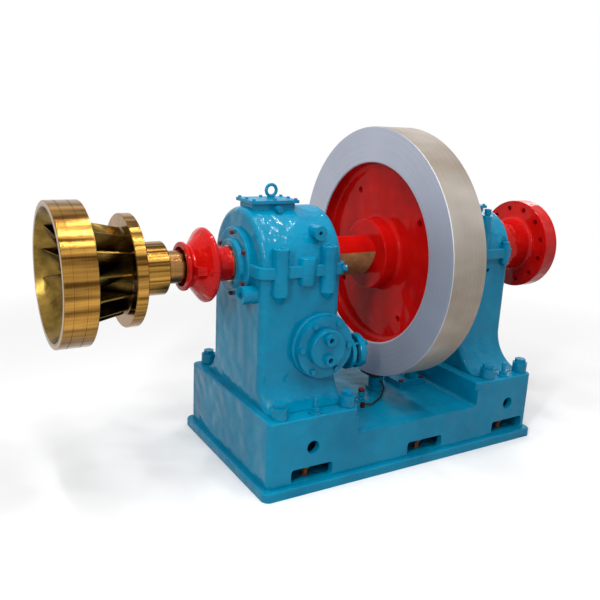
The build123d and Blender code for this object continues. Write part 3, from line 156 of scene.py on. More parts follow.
# %% Helpers for node groups
def open_group(name, inputs, outputs):
    group = bpy.data.node_groups.new(name, "ShaderNodeTree")
    for label, kind, value in inputs:
        socket = group.interface.new_socket(name=label, in_out="INPUT", socket_type=kind)
        socket.default_value = value
    for label, kind in outputs:
        group.interface.new_socket(name=label, in_out="OUTPUT", socket_type=kind)
    start = group.nodes.new("NodeGroupInput")
    finish = group.nodes.new("NodeGroupOutput")
    return group, group.nodes, group.links, start, finish


def use_group(nodes, group, **values):
    node = nodes.new("ShaderNodeGroup")
    node.node_tree = group
    for label, value in values.items():
        node.inputs[label].default_value = value
    return node


def add_bump(nodes, links, height, strength, distance):
    bump = nodes.new("ShaderNodeBump")
    bump.inputs["Strength"].default_value = strength
    bump.inputs["Distance"].default_value = distance
    links.new(height, bump.inputs["Height"])
    return bump.outputs["Normal"]


print("group helpers are ready")

# %% [markdown]
# Thick enamel over sand castings is never flat: filler leaves slow waves a hand wide, the brush leaves
# lumps and runs the size of a thumb, and dust dulls the paint in patches and on level faces. Flat sides are
# filled and sanded, so they have few lumps. Both colours of paint share this, so it is one group. Noise in
# Object coordinates is used, because the castings have no useful unwrapping.

# %% Node group for enamel on a casting
enamel_group, nodes, links, start, finish = open_group(
    "casting_enamel",
    [
        ("Paint", "NodeSocketColor", (0.8, 0.8, 0.8, 1)),
        ("Shade", "NodeSocketColor", (0.4, 0.4, 0.4, 1)),
    ],
    [("Color", "NodeSocketColor"), ("Roughness", "NodeSocketFloat"), ("Height", "NodeSocketFloat")],
)
wave_scale, lump_scale, patch_scale = 9.0, 31.0, 4.0
glossy_paint, dull_paint, dust_dulling = 0.05, 0.14, 0.30
round_lumps, flat_lumps = 0.44, 0.03
place = nodes.new("ShaderNodeTexCoord").outputs["Object"]
waves = add_noise(nodes, links, place, wave_scale, 1.0)
lumps = add_noise(nodes, links, place, lump_scale, 1.2, 0.5)
patches = add_noise(nodes, links, place, patch_scale, 5.0, 0.62)
tint = add_range(nodes, links, patches, 0.36, 0.68, 0.0, 1.0)
color = add_mix(nodes, links, tint, start.outputs["Paint"], start.outputs["Shade"])
links.new(color, finish.inputs["Color"])
rough = add_range(nodes, links, patches, 0.36, 0.72, glossy_paint, dull_paint)
way_x, way_y, way_z = split_face_way(nodes, links)
dust = add_range(nodes, links, way_z, 0.95, 0.995, 0.0, dust_dulling)
links.new(add_math(nodes, links, "ADD", rough, dust), finish.inputs["Roughness"])
square = add_math(nodes, links, "ABSOLUTE", way_x)
for way in (way_y, way_z):
    square = add_math(nodes, links, "MAXIMUM", square, add_math(nodes, links, "ABSOLUTE", way))
lump_share = add_range(nodes, links, square, 0.96, 0.999, round_lumps, flat_lumps)
lumps = add_math(nodes, links, "SUBTRACT", lumps, 0.5)
links.new(add_math(nodes, links, "MULTIPLY_ADD", lumps, lump_share, waves), finish.inputs["Height"])
print("group:", enamel_group.name, [item.name for item in enamel_group.interface.items_tree])

# %% [markdown]
# A lathe leaves fine rings round the shaft axis: circles on a face and hoops on a cylinder. A pattern in
# radius and X draws both. The group also gives the radius, which later tells a painted web from a bare rim,
# and broad light and dark streaks that change only round the circle: partly tarnish, and partly a painted
# reflection of a row of workshop lamps. On end faces the streaks would meet in a fan, so they are made
# weaker there.

# %% Node group for lathe marks round the shaft
turned_group, nodes, links, start, finish = open_group(
    "turned_marks",
    [("Fineness", "NodeSocketFloat", 400.0), ("Streaks", "NodeSocketFloat", 3.0)],
    [("Radius", "NodeSocketFloat"), ("Rings", "NodeSocketFloat"), ("Streak", "NodeSocketFloat")],
)
along, across, up = split_object_place(nodes, links)[1:]
up = add_math(nodes, links, "SUBTRACT", up, shaft_height)
square_across = add_math(nodes, links, "MULTIPLY", across, across)
radius = add_math(nodes, links, "SQRT", add_math(nodes, links, "MULTIPLY_ADD", up, up, square_across))
links.new(radius, finish.inputs["Radius"])
rings = nodes.new("ShaderNodeCombineXYZ")
links.new(add_math(nodes, links, "MULTIPLY", radius, start.outputs["Fineness"]), rings.inputs[0])
links.new(add_math(nodes, links, "MULTIPLY", along, start.outputs["Fineness"]), rings.inputs[1])
links.new(add_math(nodes, links, "MULTIPLY", across, 2.0), rings.inputs[2])
links.new(add_noise(nodes, links, rings.outputs[0], 1.0, 3.0, 0.6), finish.inputs["Rings"])
smallest_radius, end_face_calm = 0.02, 0.75
round_place = nodes.new("ShaderNodeCombineXYZ")
safe_radius = add_math(nodes, links, "MAXIMUM", radius, smallest_radius)
round_across = add_math(nodes, links, "DIVIDE", across, safe_radius)
round_up = add_math(nodes, links, "DIVIDE", up, safe_radius)
links.new(add_math(nodes, links, "MULTIPLY", round_across, start.outputs["Streaks"]), round_place.inputs[0])
links.new(add_math(nodes, links, "MULTIPLY", round_up, start.outputs["Streaks"]), round_place.inputs[1])
links.new(add_math(nodes, links, "MULTIPLY", along, 1.2), round_place.inputs[2])
# Streaks round the circle: partly tarnish, partly a painted reflection of a row of lamps.
streak = add_noise(nodes, links, round_place.outputs[0], 1.0, 3.0, 0.55)
streak = add_math(nodes, links, "SUBTRACT", streak, 0.5)
end_face = add_math(nodes, links, "ABSOLUTE", split_face_way(nodes, links)[0])
calm = add_math(nodes, links, "MULTIPLY_ADD", end_face, -end_face_calm, 1.0)
links.new(add_math(nodes, links, "MULTIPLY_ADD", streak, calm, 0.5), finish.inputs["Streak"])
print("group:", turned_group.name, [item.name for item in turned_group.interface.items_tree])

# %% [markdown]
# Blue and red enamel are the same paint in two colours. The paint is smooth, so lamps show in it as small
# sharp glints, but it mirrors little of the pale surroundings, which keeps its colour deep. The lumps of
# the group are turned into normals by a bump, and they break each lamp into a row of glints.

# %% Blue and red enamel
paint_gloss, lump_depth = 0.15, 0.012


def enamel(name, paint, shade):
    material, nodes, links, shader = new_finish(name, 0.12, gloss=paint_gloss)
    layer = use_group(nodes, enamel_group, Paint=paint, Shade=shade)
    normal = add_bump(nodes, links, layer.outputs["Height"], 1.0, lump_depth)
    links.new(layer.outputs["Color"], shader.inputs["Base Color"])
    links.new(layer.outputs["Roughness"], shader.inputs["Roughness"])
    links.new(normal, shader.inputs["Normal"])
    return material


blue_enamel = enamel("blue_enamel", enamel_blue, enamel_blue_shade)
red_enamel = enamel("red_enamel", enamel_red, enamel_red_shade)
print("paints:", blue_enamel.name, red_enamel.name)

# %% [markdown]
# Bare turned metal has three things on top of its colour: fine rings, broad streaks that are partly tarnish
# and partly a painted reflection of lamp rows, and a roughness that follows them. One helper builds it, and
# gives the nodes back for finishes that add a second material.

# %% Helper for turned metal
def turned_metal(name, light, dark, roughness, fineness, depth, streaks=3.0, ring_share=0.25):
    material, nodes, links, shader = new_finish(name, roughness, metallic=1.0)
    marks = use_group(nodes, turned_group, Fineness=fineness, Streaks=streaks)
    # The streak blends dark and light colour: partly tarnish, partly painted reflection.
    streak = add_range(nodes, links, marks.outputs["Streak"], 0.36, 0.64, 0.0, 1.0)
    ring = add_range(nodes, links, marks.outputs["Rings"], 0.36, 0.64, -ring_share, ring_share)
    tone = add_math(nodes, links, "ADD", streak, ring)
    color = add_mix(nodes, links, tone, dark, light)
    links.new(color, shader.inputs["Base Color"])
    rough = add_range(nodes, links, marks.outputs["Streak"], 0.3, 0.7, roughness - 0.05, roughness + 0.07)
    links.new(rough, shader.inputs["Roughness"])
    links.new(add_bump(nodes, links, marks.outputs["Rings"], 0.3, depth), shader.inputs["Normal"])
    return material, nodes, links, shader, marks, color, rough


copper = turned_metal(
    "sleeve_copper", light=srgb(158, 118, 68), dark=srgb(92, 58, 32), roughness=0.22, fineness=420.0,
    depth=0.0005, streaks=2.5,
)[0]
white_metal = turned_metal(
    "bearing_metal", light=srgb(196, 196, 198), dark=srgb(176, 176, 180), roughness=0.35, fineness=500.0,
    depth=0.0004,
)[0]
print("turned metals:", copper.name, white_metal.name)

# %% [markdown]
# The runner is cast in bronze. Its band and crown are turned and shine like gold with light and dark
# streaks, which are as much a painted reflection of lamp rows as tarnish, while the blades and the inside of
# the band are only ground by hand, so they look olive and cloudy. Their colours are also darkened as painted
# shade, which grows darker and browner the nearer they lie to the axis, deep in the passages. Radius and X
# tell the two apart: inside is below 0.27 m in radius and ahead of the crown.

# %% Runner bronze
# Eight streaks round the band: painted reflection of lamp rows as much as tarnish.
bronze, nodes, links, shader, marks, turned_color, turned_rough = turned_metal(
    "runner_bronze", light=srgb(184, 137, 64), dark=srgb(84, 55, 21), roughness=0.19, fineness=420.0,
    depth=0.0003, streaks=8.0, ring_share=0.05,
)
crown_front, turned_radius, deep_shade_radius = -1.240, 0.270, 0.150
# Inside colours: olive ground tone, darkened partly as painted shade; the axis colour is painted shade.
ground_dark, ground_light, axis_painted_shade = srgb(92, 74, 32), srgb(146, 116, 56), srgb(58, 46, 20)
place, along = split_object_place(nodes, links)[:2]
ahead = add_math(nodes, links, "LESS_THAN", along, crown_front)
within = add_math(nodes, links, "LESS_THAN", marks.outputs["Radius"], turned_radius)
inside = add_math(nodes, links, "MULTIPLY", ahead, within)
clouds = add_noise(nodes, links, place, 14.0, 5.0, 0.6)
cloud = add_range(nodes, links, clouds, 0.36, 0.66, 0.0, 1.0)
ground_color = add_mix(nodes, links, cloud, ground_dark, ground_light)
# Painted shade: darker and browner towards the axis, where the passages are deep.
near_axis_shade = add_range(nodes, links, marks.outputs["Radius"], deep_shade_radius, turned_radius, 0.6, 0.0)
ground_color = add_mix(nodes, links, near_axis_shade, ground_color, axis_painted_shade)
links.new(add_mix(nodes, links, inside, turned_color, ground_color), shader.inputs["Base Color"])
links.new(add_math(nodes, links, "MULTIPLY_ADD", inside, 0.06, turned_rough), shader.inputs["Roughness"])
print("cast and turned:", bronze.name)

# %% [markdown]
# The flywheel is one casting with three finishes: a red web, a smooth bluish face on the rim, and a warmer
# tread where the last cut was coarser, whose strong light and dark streaks round the circle are partly a
# painted reflection. The radius from the lathe group makes both masks, so each line falls exactly on an edge
# of the casting. The web was turned before it was painted, so its paint has only shallow lumps.

# %% Flywheel finish
rim_inner, tread_edge = 0.4345, 0.5985
wheel_gloss, web_lumps, ring_depth, bare_metal = 0.07, 0.4, 0.01, 0.75
tread_dark, tread_light = srgb(122, 108, 92), srgb(184, 178, 171)
flywheel_finish, nodes, links, shader, marks, face_color, rough = turned_metal(
    "flywheel_finish", light=srgb(190, 194, 206), dark=srgb(162, 166, 181), roughness=0.50, fineness=900.0,
    depth=0.0003, streaks=1.6, ring_share=0.30,
)
# The tread's strong light and dark streaks are partly a painted reflection of the workshop.
tread_rings = add_range(nodes, links, marks.outputs["Rings"], 0.34, 0.66, 0.0, 0.4)
tread_streaks = add_range(nodes, links, marks.outputs["Streak"], 0.36, 0.64, 0.0, 0.6)
tread_tone = add_math(nodes, links, "ADD", tread_rings, tread_streaks)
tread_color = add_mix(nodes, links, tread_tone, tread_dark, tread_light)
on_tread = add_math(nodes, links, "GREATER_THAN", marks.outputs["Radius"], tread_edge)
bare_color = add_mix(nodes, links, on_tread, face_color, tread_color)
painted = add_math(nodes, links, "LESS_THAN", marks.outputs["Radius"], rim_inner)
bare = add_math(nodes, links, "SUBTRACT", 1.0, painted)
layer = use_group(nodes, enamel_group, Paint=enamel_red, Shade=enamel_red_shade)
links.new(add_mix(nodes, links, painted, bare_color, layer.outputs["Color"]), shader.inputs["Base Color"])
links.new(add_math(nodes, links, "MULTIPLY", bare, bare_metal), shader.inputs["Metallic"])
shader.inputs["Specular IOR Level"].default_value = wheel_gloss
paint_rough = add_math(nodes, links, "MULTIPLY", painted, layer.outputs["Roughness"])
links.new(add_math(nodes, links, "MULTIPLY_ADD", bare, rough, paint_rough), shader.inputs["Roughness"])
ring_height = add_math(nodes, links, "MULTIPLY", marks.outputs["Rings"], ring_depth)
ring_height = add_math(nodes, links, "MULTIPLY", bare, ring_height)
web_height = add_math(nodes, links, "MULTIPLY", layer.outputs["Height"], web_lumps)
height = add_math(nodes, links, "MULTIPLY_ADD", painted, web_height, ring_height)
links.new(add_bump(nodes, links, height, 1.0, lump_depth), shader.inputs["Normal"])
print("three-part finish:", flywheel_finish.name)

# %% [markdown]
# The shaft is painted red only between the left bearing and the right one. Its ends stay bare for the
# bearings, the seals and the seats of the runner and coupling, so the mask here is a span of X.

# %% Shaft finish
red_start, red_end = -0.2795, 0.4035
shaft_finish, nodes, links, shader, marks, bare_color, rough = turned_metal(
    "shaft_finish", light=srgb(186, 184, 184), dark=srgb(150, 148, 148), roughness=0.30, fineness=600.0,
    depth=0.0004,
)
along = split_object_place(nodes, links)[1]
after_start = add_math(nodes, links, "GREATER_THAN", along, red_start)
before_end = add_math(nodes, links, "LESS_THAN", along, red_end)
painted = add_math(nodes, links, "MULTIPLY", after_start, before_end)
layer = use_group(nodes, enamel_group, Paint=enamel_red, Shade=enamel_red_shade)
links.new(add_mix(nodes, links, painted, bare_color, layer.outputs["Color"]), shader.inputs["Base Color"])
bare = add_math(nodes, links, "SUBTRACT", 1.0, painted)
links.new(bare, shader.inputs["Metallic"])
shader.inputs["Specular IOR Level"].default_value = paint_gloss
paint_rough = add_math(nodes, links, "MULTIPLY", painted, layer.outputs["Roughness"])
links.new(add_math(nodes, links, "MULTIPLY_ADD", bare, rough, paint_rough), shader.inputs["Roughness"])
print("two-part finish:", shaft_finish.name)

# %% [markdown]
# Small parts keep simple finishes of their own: primed screws, rusty levelling screws, the brake lining,
# the tarnished oil pipe, a near-black neck under the drain cover, whose colour is painted shade in the gap,
# and the brown paper round the shaft. Each still varies over its surface, because a flat colour never looks
# real close up.

# %% Small finishes
def mottled(name, light, dark, roughness, metallic, scale):
    material, nodes, links, shader = new_finish(name, roughness, metallic=metallic, gloss=0.3)
    place = nodes.new("ShaderNodeTexCoord").outputs["Object"]
    spots = add_noise(nodes, links, place, scale, 6.0, 0.65)
    tone = add_range(nodes, links, spots, 0.35, 0.66, 0.0, 1.0)
    links.new(add_mix(nodes, links, tone, dark, light), shader.inputs["Base Color"])
    rough = add_range(nodes, links, spots, 0.3, 0.7, roughness - 0.1, roughness + 0.12)
    links.new(rough, shader.inputs["Roughness"])
    links.new(add_bump(nodes, links, spots, 0.3, 0.001), shader.inputs["Normal"])
    return material


primed_screw = mottled("primed_screw", srgb(112, 30, 34), srgb(62, 16, 20), 0.45, 0.0, 120.0)
rusty_screw = mottled("rusty_screw", srgb(150, 92, 44), srgb(74, 42, 22), 0.65, 0.2, 90.0)
brake_lining = mottled("brake_lining", srgb(46, 45, 44), srgb(28, 27, 27), 0.8, 0.0, 200.0)
pipe_copper = mottled("pipe_copper", srgb(88, 52, 40), srgb(52, 32, 28), 0.4, 0.6, 70.0)
# Near black for the drain neck: painted shade in the gap under the cover.
painted_gap_shade = mottled("painted_gap_shade", srgb(24, 34, 40), srgb(12, 18, 22), 0.7, 0.0, 150.0)
wrap_paper = mottled("wrap_paper", srgb(150, 104, 62), srgb(112, 74, 42), 0.75, 0.0, 26.0)
small_finishes = (primed_screw, rusty_screw, brake_lining, pipe_copper, painted_gap_shade, wrap_paper)
print("small finishes:", [finish.name for finish in small_finishes])

# %% [markdown]
# Each CAD node takes the finish of its slot in the record. The screws of the brake stand in primer, because
# the fitters put them in after the bed was painted, and the union of the oil pipe is bare copper like the
# pipe.

# %% Put the finishes on the CAD nodes
finish_of_slot = {
    "blue_paint": blue_enamel,
    "red_paint": red_enamel,
    "flywheel_steel": flywheel_finish,
    "shaft_steel": shaft_finish,
    "bronze": bronze,
    "copper_sleeve": copper,
    "white_metal": white_metal,
    "dark_screws": primed_screw,
    "rusty_steel": rusty_screw,
    "brake_lining": brake_lining,
    "copper_pipe": pipe_copper,
}
slot_of_node = {entry["node"]: entry["material_slot"] for entry in frame["record"]["subparts"]}
for name, node in frame["nodes"].items():
    node.data.materials.clear()
    node.data.materials.append(finish_of_slot[slot_of_node[name]])
frame["nodes"]["brake_plate_bolts"].data.materials[0] = primed_screw
frame["nodes"]["brake_pipe_union"].data.materials[0] = pipe_copper
print("nodes with a finish:", len(frame["nodes"]))

# %% [markdown]
# New pieces are all made in one way: a bmesh is shaped with operators, its normals are made to point
# outwards, and it becomes an object at the origin that wears one finish and rides on a body of the frame.

# %% Helper that turns a bmesh into a finished piece
def add_piece(name, shape, finish, body):
    bmesh.ops.remove_doubles(shape, verts=shape.verts, dist=0.00002)
    bmesh.ops.recalc_face_normals(shape, faces=shape.faces)
    mesh = bpy.data.meshes.new(name)
    shape.to_mesh(mesh)
    shape.free()
    mesh.materials.append(finish)
    mesh.shade_smooth()
    mesh.set_sharp_from_angle(angle=radians(35))
    piece = bpy.data.objects.new(name, mesh)
    bpy.context.collection.objects.link(piece)
    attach(piece, body)
    print(name, "has", len(mesh.polygons), "faces")
    return piece


# %% [markdown]
# The middle of the shaft is wrapped in brown paper from below, held by the paint it dried into. It is an
# open strip, 214 degrees round, so a straight edge is spun about the shaft axis by that much. A slanting
# cut takes off the torn right end, small bends follow, and a wall gives it the thickness of a few layers.

# %% Paper wrap round the middle of the shaft
wrap_radius, wrap_start, wrap_end = 0.0928, -0.255, -0.040
wrap_thickness, wrap_lift, wrap_parts = 0.0016, 0.0006, 16
edge_angle, wrap_angle = radians(17), radians(214)
cut_place, cut_way = (-0.046, -0.093, 0.957), (1.0, 0.0, -0.30)
wrap = bmesh.new()
edge_y, edge_z = -wrap_radius * cos(edge_angle), shaft_height + wrap_radius * sin(edge_angle)
wrap_line = []
for step in range(wrap_parts + 1):
    x = wrap_start + (wrap_end - wrap_start) * step / wrap_parts
    wrap_line.append(wrap.verts.new((x, edge_y, edge_z)))
wrap_edges = [wrap.edges.new(pair) for pair in zip(wrap_line, wrap_line[1:])]
bmesh.ops.spin(
    wrap, geom=wrap_line + wrap_edges, cent=(0, 0, shaft_height), axis=(1, 0, 0), angle=wrap_angle, steps=72
)
bmesh.ops.bisect_plane(
    wrap, geom=wrap.verts[:] + wrap.edges[:] + wrap.faces[:], plane_co=cut_place, plane_no=cut_way,
    clear_outer=True,
)
for vert in wrap.verts:
    lift = wrap_lift * (1.0 + sin(70.0 * vert.co.x + 30.0 * vert.co.z))
    outwards = Vector((0.0, vert.co.y, vert.co.z - shaft_height)).normalized()
    vert.co += outwards * lift
bmesh.ops.recalc_face_normals(wrap, faces=wrap.faces)
bmesh.ops.solidify(wrap, geom=wrap.faces[:], thickness=-wrap_thickness)
shaft_wrap = add_piece("shaft_wrap", wrap, wrap_paper, "rotor")

# %% [markdown]
# The cover plates on both caps are held by small hexagon screws on washers. A screw head starts as a cone of
# six sides and equal radii, its top edge is bevelled, and a flat washer goes under it. The helper adds one
# head to a bmesh at a place and along a direction, so one piece can hold all the screws of a plate.

# %% Helper for a hexagon head with its washer
washer_share, edge_share = 0.14, 0.09


def add_hexagon(shape, place, direction, across, height, washer=True):
    turn = Vector(direction).to_track_quat("Z", "Y").to_matrix().to_4x4()
    at = Matrix.Translation(place) @ turn
    washer_height = washer_share * across if washer else 0.0
    middle = Matrix.Translation((0, 0, washer_height + height / 2))
    radius = across / 2 / cos(radians(30))
    head = bmesh.ops.create_cone(
        shape, cap_ends=True, segments=6, radius1=radius, radius2=radius, depth=height, matrix=at @ middle
    )
    top = (at @ Matrix.Translation((0, 0, washer_height + height))).translation
    normal = (at.to_3x3() @ Vector((0, 0, 1))).normalized()
    rim = [
        edge for edge in {edge for vert in head["verts"] for edge in vert.link_edges}
        if all(abs((vert.co - top).dot(normal)) < 0.0001 for vert in edge.verts)
    ]
    bmesh.ops.bevel(
        shape, geom=rim, offset=edge_share * across, segments=2, profile=0.5, affect="EDGES", material=-1
    )
    if washer:
        ring = Matrix.Translation((0, 0, washer_height / 2))
        bmesh.ops.create_cone(
            shape, cap_ends=True, segments=24, radius1=0.60 * across, radius2=0.56 * across,
            depth=washer_height, matrix=at @ ring,
        )


print("hexagon helper is ready")

# %% [markdown]
# Eight screws hold the left plate and six the right one. They were painted over with the caps, so they are
# blue.

# %% Screws of the two cover plates
left_plate_top, right_plate_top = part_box("left_top_cover")[1][2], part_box("right_top_cover")[1][2]
screw_width, screw_height = 0.013, 0.006
left_columns, left_side_row = (-0.685, -0.583, -0.481), 0.068
right_columns, right_side_row = (0.484, 0.570, 0.656), 0.057
left_screws, right_screws = bmesh.new(), bmesh.new()
for x in left_columns:
    for y in (-left_side_row, left_side_row):
        add_hexagon(left_screws, (x, y, left_plate_top), (0, 0, 1), screw_width, screw_height)
for x in (left_columns[0], left_columns[-1]):
    add_hexagon(left_screws, (x, 0.0, left_plate_top), (0, 0, 1), screw_width, screw_height)
for x in right_columns:
    for y in (-right_side_row, right_side_row):
        add_hexagon(right_screws, (x, y, right_plate_top), (0, 0, 1), screw_width, screw_height)
add_piece("left_plate_screws", left_screws, blue_enamel, "base")
add_piece("right_plate_screws", right_screws, blue_enamel, "base")

# %% [markdown]
# The split flange of the left housing is thickened in the middle of each side by a round boss, and a level
# plug sits on the rounded corner of the same flange. Any turned or round cast form is a profile, given as
# radius and height, spun about its own upright axis. The mirror pair on the far side comes from symmetry.

# %% Middle bosses and level plugs of the left housing
profile_steps = 48


def spin_profile(shape, points, centre):
    line = [shape.verts.new((centre[0] + radius, centre[1], height)) for radius, height in points]
    edges = [shape.edges.new(pair) for pair in zip(line, line[1:])]
    bmesh.ops.spin(
        shape, geom=line + edges, cent=(centre[0], centre[1], 0), axis=(0, 0, 1), angle=radians(360),
        steps=profile_steps, use_merge=True,
    )


boss_x, boss_y, boss_bottom, boss_top, boss_radius = -0.511, 0.238, 0.866, 0.9885, 0.042
boss_profile = [
    (0.0, boss_bottom),
    (boss_radius - 0.012, boss_bottom),
    (boss_radius - 0.004, boss_bottom + 0.003),
    (boss_radius, boss_bottom + 0.011),
    (boss_radius, boss_top - 0.0095),
    (boss_radius - 0.003, boss_top - 0.0025),
    (boss_radius - 0.010, boss_top),
    (0.0, boss_top),
]
corner_x, corner_y, corner_radius, plug_height = -0.366, 0.210, 0.0525, 0.931
corner_reach = corner_radius * 0.7071
bosses, plugs = bmesh.new(), bmesh.new()
for side in (-1, 1):
    spin_profile(bosses, boss_profile, (boss_x, side * boss_y))
    plug = (corner_x + corner_reach, side * (corner_y + corner_reach), plug_height)
    add_hexagon(plugs, plug, (1, side, 0), across=0.024, height=0.014)
add_piece("middle_bosses", bosses, blue_enamel, "base")
add_piece("level_plugs", plugs, blue_enamel, "base")

# %% [markdown]
# On the right cap a slim pocket stands on each side over the oil ring, so that a fitter can look in through
# its screwed cap. Its foot is sunk a little into the split flange, and a hexagon closes the top.

# %% Oil ring pockets of the right cap
pocket_x, pocket_y, pocket_bottom, pocket_top = 0.548, 0.197, 0.950, 1.134
pocket_radius, pocket_neck = 0.023, 0.014
pocket_profile = [
    (0.0, pocket_bottom),
    (pocket_radius, pocket_bottom),
    (pocket_radius, pocket_top - 0.016),
    (pocket_radius - 0.002, pocket_top - 0.010),
    (pocket_neck, pocket_top - 0.007),
    (pocket_neck, pocket_top),
    (0.0, pocket_top),
]
pockets = bmesh.new()
for side in (-1, 1):
    spin_profile(pockets, pocket_profile, (pocket_x, side * pocket_y))
    pocket_cap = (pocket_x, side * pocket_y, pocket_top - 0.002)
    add_hexagon(pockets, pocket_cap, (0, 0, 1), across=0.030, height=0.022)
add_piece("ring_pockets", pockets, blue_enamel, "base")

# %% [markdown]
# The drain branch is closed by a thick disc that stands off its flange on a narrow neck, with the four
# studs open to view in the dark gap. The neck is near black, which paints the shade of that gap. It stands
# for the plain cover of the frame. Its axis runs along X, so the same spin is used upright first, and the
# shape is then turned over and put in place.

# %% Drain cover on its neck, with studs
drain_face_centre = (-0.246, -0.195, 0.522)
disc_radius, disc_back, disc_front = 0.080, 0.026, 0.060
neck_radius, stud_radius, stud_circle = 0.056, 0.006, 0.067
disc_profile = [
    (0.0, disc_back),
    (disc_radius - 0.003, disc_back),
    (disc_radius, disc_back + 0.003),
    (disc_radius, disc_front - 0.004),
    (disc_radius - 0.004, disc_front),
    (0.0, disc_front),
]
neck_end, stud_start, stud_end = 0.028, -0.010, 0.030
neck_profile = [(0.0, 0.0), (neck_radius, 0.0), (neck_radius, neck_end), (0.0, neck_end)]
stud_profile = [(0.0, stud_start), (stud_radius, stud_start), (stud_radius, stud_end), (0.0, stud_end)]
disc, neck, studs = bmesh.new(), bmesh.new(), bmesh.new()
spin_profile(disc, disc_profile, (0.0, 0.0))
spin_profile(neck, neck_profile, (0.0, 0.0))
for quarter in range(4):
    angle = radians(45 + 90 * quarter)
    at = (stud_circle * cos(angle), stud_circle * sin(angle))
    spin_profile(studs, stud_profile, at)
    add_hexagon(studs, (at[0], at[1], disc_front), (0, 0, 1), across=0.019, height=0.010)
drain_place = Matrix.Translation(drain_face_centre) @ Matrix.Rotation(radians(90), 4, "Y")
for shape in (disc, neck, studs):
    bmesh.ops.transform(shape, matrix=drain_place, verts=shape.verts)
drain_disc = add_piece("drain_disc", disc, blue_enamel, "base")
# The neck is near black: painted shade in the gap.
add_piece("drain_neck", neck, painted_gap_shade, "base")
drain_studs = add_piece("drain_studs", studs, blue_enamel, "base")
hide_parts("drain_cover")
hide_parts("drain_cover_screws")

# %% [markdown]
# Beside the drain branch a small cock lets the brake oil out: a turned body with a hexagon on a short pipe,
# and a red cap screwed on top. The same spin of a profile makes both turned parts.

# %% Oil cock with its red cap
cock_x, cock_y, deck_height = -0.097, -0.127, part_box("brake_plate")[0][2]
cock_profile = [
    (0.0, 0.0), (0.022, 0.0), (0.022, 0.006), (0.012, 0.010), (0.012, 0.030), (0.017, 0.034), (0.017, 0.050),
    (0.010, 0.054), (0.0, 0.054),
]
cap_profile = [(0.0, 0.052), (0.014, 0.052), (0.016, 0.056), (0.016, 0.066), (0.012, 0.070), (0.0, 0.071)]


def above_deck(profile):
    return [(radius, deck_height + height) for radius, height in profile]


cock, cap = bmesh.new(), bmesh.new()
spin_profile(cock, above_deck(cock_profile), (cock_x, cock_y))
cock_nut = (cock_x, cock_y, deck_height + 0.014)
add_hexagon(cock, cock_nut, (0, 0, 1), across=0.030, height=0.012, washer=False)
spin_profile(cap, above_deck(cap_profile), (cock_x, cock_y))
add_piece("oil_cock", cock, blue_enamel, "base")
add_piece("oil_cock_cap", cap, primed_screw, "base")

# %% [markdown]
# The floor is a plain pale sheet that the unit stands on. It is stage, so it stays out of the model. Near
# the unit it takes a soft shadow. Farther out, rays from the camera and from shiny metal see it fade to
# plain white, so that it meets the white background without a line. Light that the floor bounces stays
# modest.

# %% Floor
def add_direct_rays(nodes, links):
    rays = nodes.new("ShaderNodeLightPath")
    direct = add_math(nodes, links, "MAXIMUM", rays.outputs["Is Camera Ray"], rays.outputs["Is Glossy Ray"])
    return add_math(nodes, links, "MAXIMUM", direct, rays.outputs["Is Transmission Ray"])


floor_reach, shadow_reach, white_reach = 40.0, 1.7, 3.6
seen_floor, bounced_floor = (0.93, 0.93, 0.93, 1), (0.50, 0.50, 0.51, 1)
floor_shape = bmesh.new()
bmesh.ops.create_grid(floor_shape, x_segments=1, y_segments=1, size=floor_reach)
floor_mesh = bpy.data.meshes.new("floor")
floor_shape.to_mesh(floor_mesh)
floor_shape.free()
floor = bpy.data.objects.new("floor", floor_mesh)
bpy.context.collection.objects.link(floor)
floor_finish, nodes, links, shader = new_finish("floor_white", 0.9, gloss=0.0)
direct = add_direct_rays(nodes, links)
links.new(add_mix(nodes, links, direct, bounced_floor, seen_floor), shader.inputs["Base Color"])
distance = nodes.new("ShaderNodeVectorMath")
distance.operation = "LENGTH"
links.new(nodes.new("ShaderNodeTexCoord").outputs["Object"], distance.inputs[0])
far = add_range(nodes, links, distance.outputs["Value"], shadow_reach, white_reach, 0.0, 1.0)
white = nodes.new("ShaderNodeEmission")
blend = nodes.new("ShaderNodeMixShader")
links.new(add_math(nodes, links, "MULTIPLY", far, direct), blend.inputs[0])
links.new(shader.outputs[0], blend.inputs[1])
links.new(white.outputs[0], blend.inputs[2])
links.new(blend.outputs[0], nodes["Material Output"].inputs["Surface"])
floor_mesh.materials.append(floor_finish)
print("floor size:", tuple(round(value, 1) for value in floor.dimensions))

# %% [markdown]
# Three rows of strip lamps overhead, a tall soft box to the left of the camera and a weak square one behind
# the right end light the unit as in a large workshop. Strips leave rows of clear highlights on lumpy paint
# and bright lines along a turned band, and many of them together still give soft shadows. A white world
# fills those shadows, and rays from the camera and from shiny metal see it as plain white.

# %% Lights and world
def soft_box(name, place, aim, size, power):
    lamp = bpy.data.lights.new(name, "AREA")
    lamp.shape = "RECTANGLE"
    lamp.size, lamp.size_y = size
    lamp.energy = power
    holder = bpy.data.objects.new(name, lamp)
    holder.location = place
    holder.rotation_euler = (Vector(aim) - Vector(place)).to_track_quat("-Z", "Y").to_euler()
    bpy.context.collection.objects.link(holder)


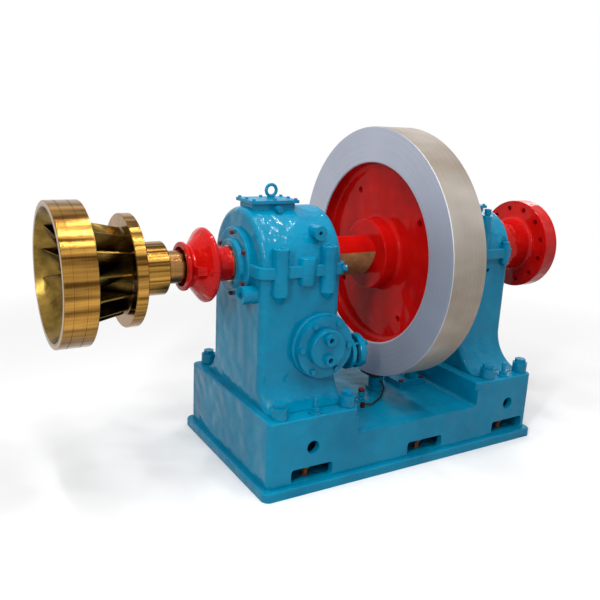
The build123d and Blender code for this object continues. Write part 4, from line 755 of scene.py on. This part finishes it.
lamp_height, lamp_rows, lamp_columns = 4.3, (-2.2, -1.0, 0.3), (-1.7, -0.5, 0.7)
for y in lamp_rows:
    for x in lamp_columns:
        aim = (0.3 * x, 0.3 * y, 0.6)
        soft_box("overhead", (x, y, lamp_height), aim, size=(0.80, 0.04), power=16.0)
soft_box("left_front", (-4.0, -2.8, 2.9), aim=(-0.4, 0, 0.7), size=(0.30, 1.5), power=80.0)
soft_box("right_back", (3.6, 2.2, 2.8), aim=(0.2, 0, 0.8), size=(1.2, 1.2), power=20.0)

world_fill, world_white = 0.50, 1.0
world = bpy.data.worlds.new("studio")
bpy.context.scene.world = world
world.use_nodes = True
nodes, links = world.node_tree.nodes, world.node_tree.links
background = nodes["Background"]
background.inputs["Color"].default_value = (1.0, 1.0, 1.0, 1)
strength = add_range(nodes, links, add_direct_rays(nodes, links), 0.0, 1.0, world_fill, world_white)
links.new(strength, background.inputs["Strength"])
print("lamps:", [item.name for item in bpy.data.lights])

# %% [markdown]
# The camera stands where the photographer stood: left of the unit, a little above the shaft, looking
# down by about fifteen degrees, with the horizon tipped by nearly three. The values come from fitting the
# picture's edges.

# %% Camera
view_turn, view_dip, view_roll = 0.5415, 0.2553, 0.047
view_place, view_lens, sensor_width = (-2.0303, -2.7193, 1.5588), 42.19, 36.0
forward = Vector((sin(view_turn) * cos(view_dip), cos(view_turn) * cos(view_dip), -sin(view_dip)))
level_right = Vector((cos(view_turn), -sin(view_turn), 0.0))
level_up = level_right.cross(forward)
right = level_right * cos(view_roll) + level_up * sin(view_roll)
up = level_up * cos(view_roll) - level_right * sin(view_roll)
camera_data = bpy.data.cameras.new("camera")
camera_data.sensor_width = sensor_width
camera_data.lens = view_lens
camera = bpy.data.objects.new("camera", camera_data)
turn = Matrix((right, up, -forward)).transposed().to_4x4()
camera.matrix_world = Matrix.Translation(view_place) @ turn
bpy.context.collection.objects.link(camera)
bpy.context.scene.camera = camera
bpy.context.scene.view_settings.view_transform = "Standard"
print("camera at", [round(value, 3) for value in camera.location], "lens", round(camera_data.lens, 2))
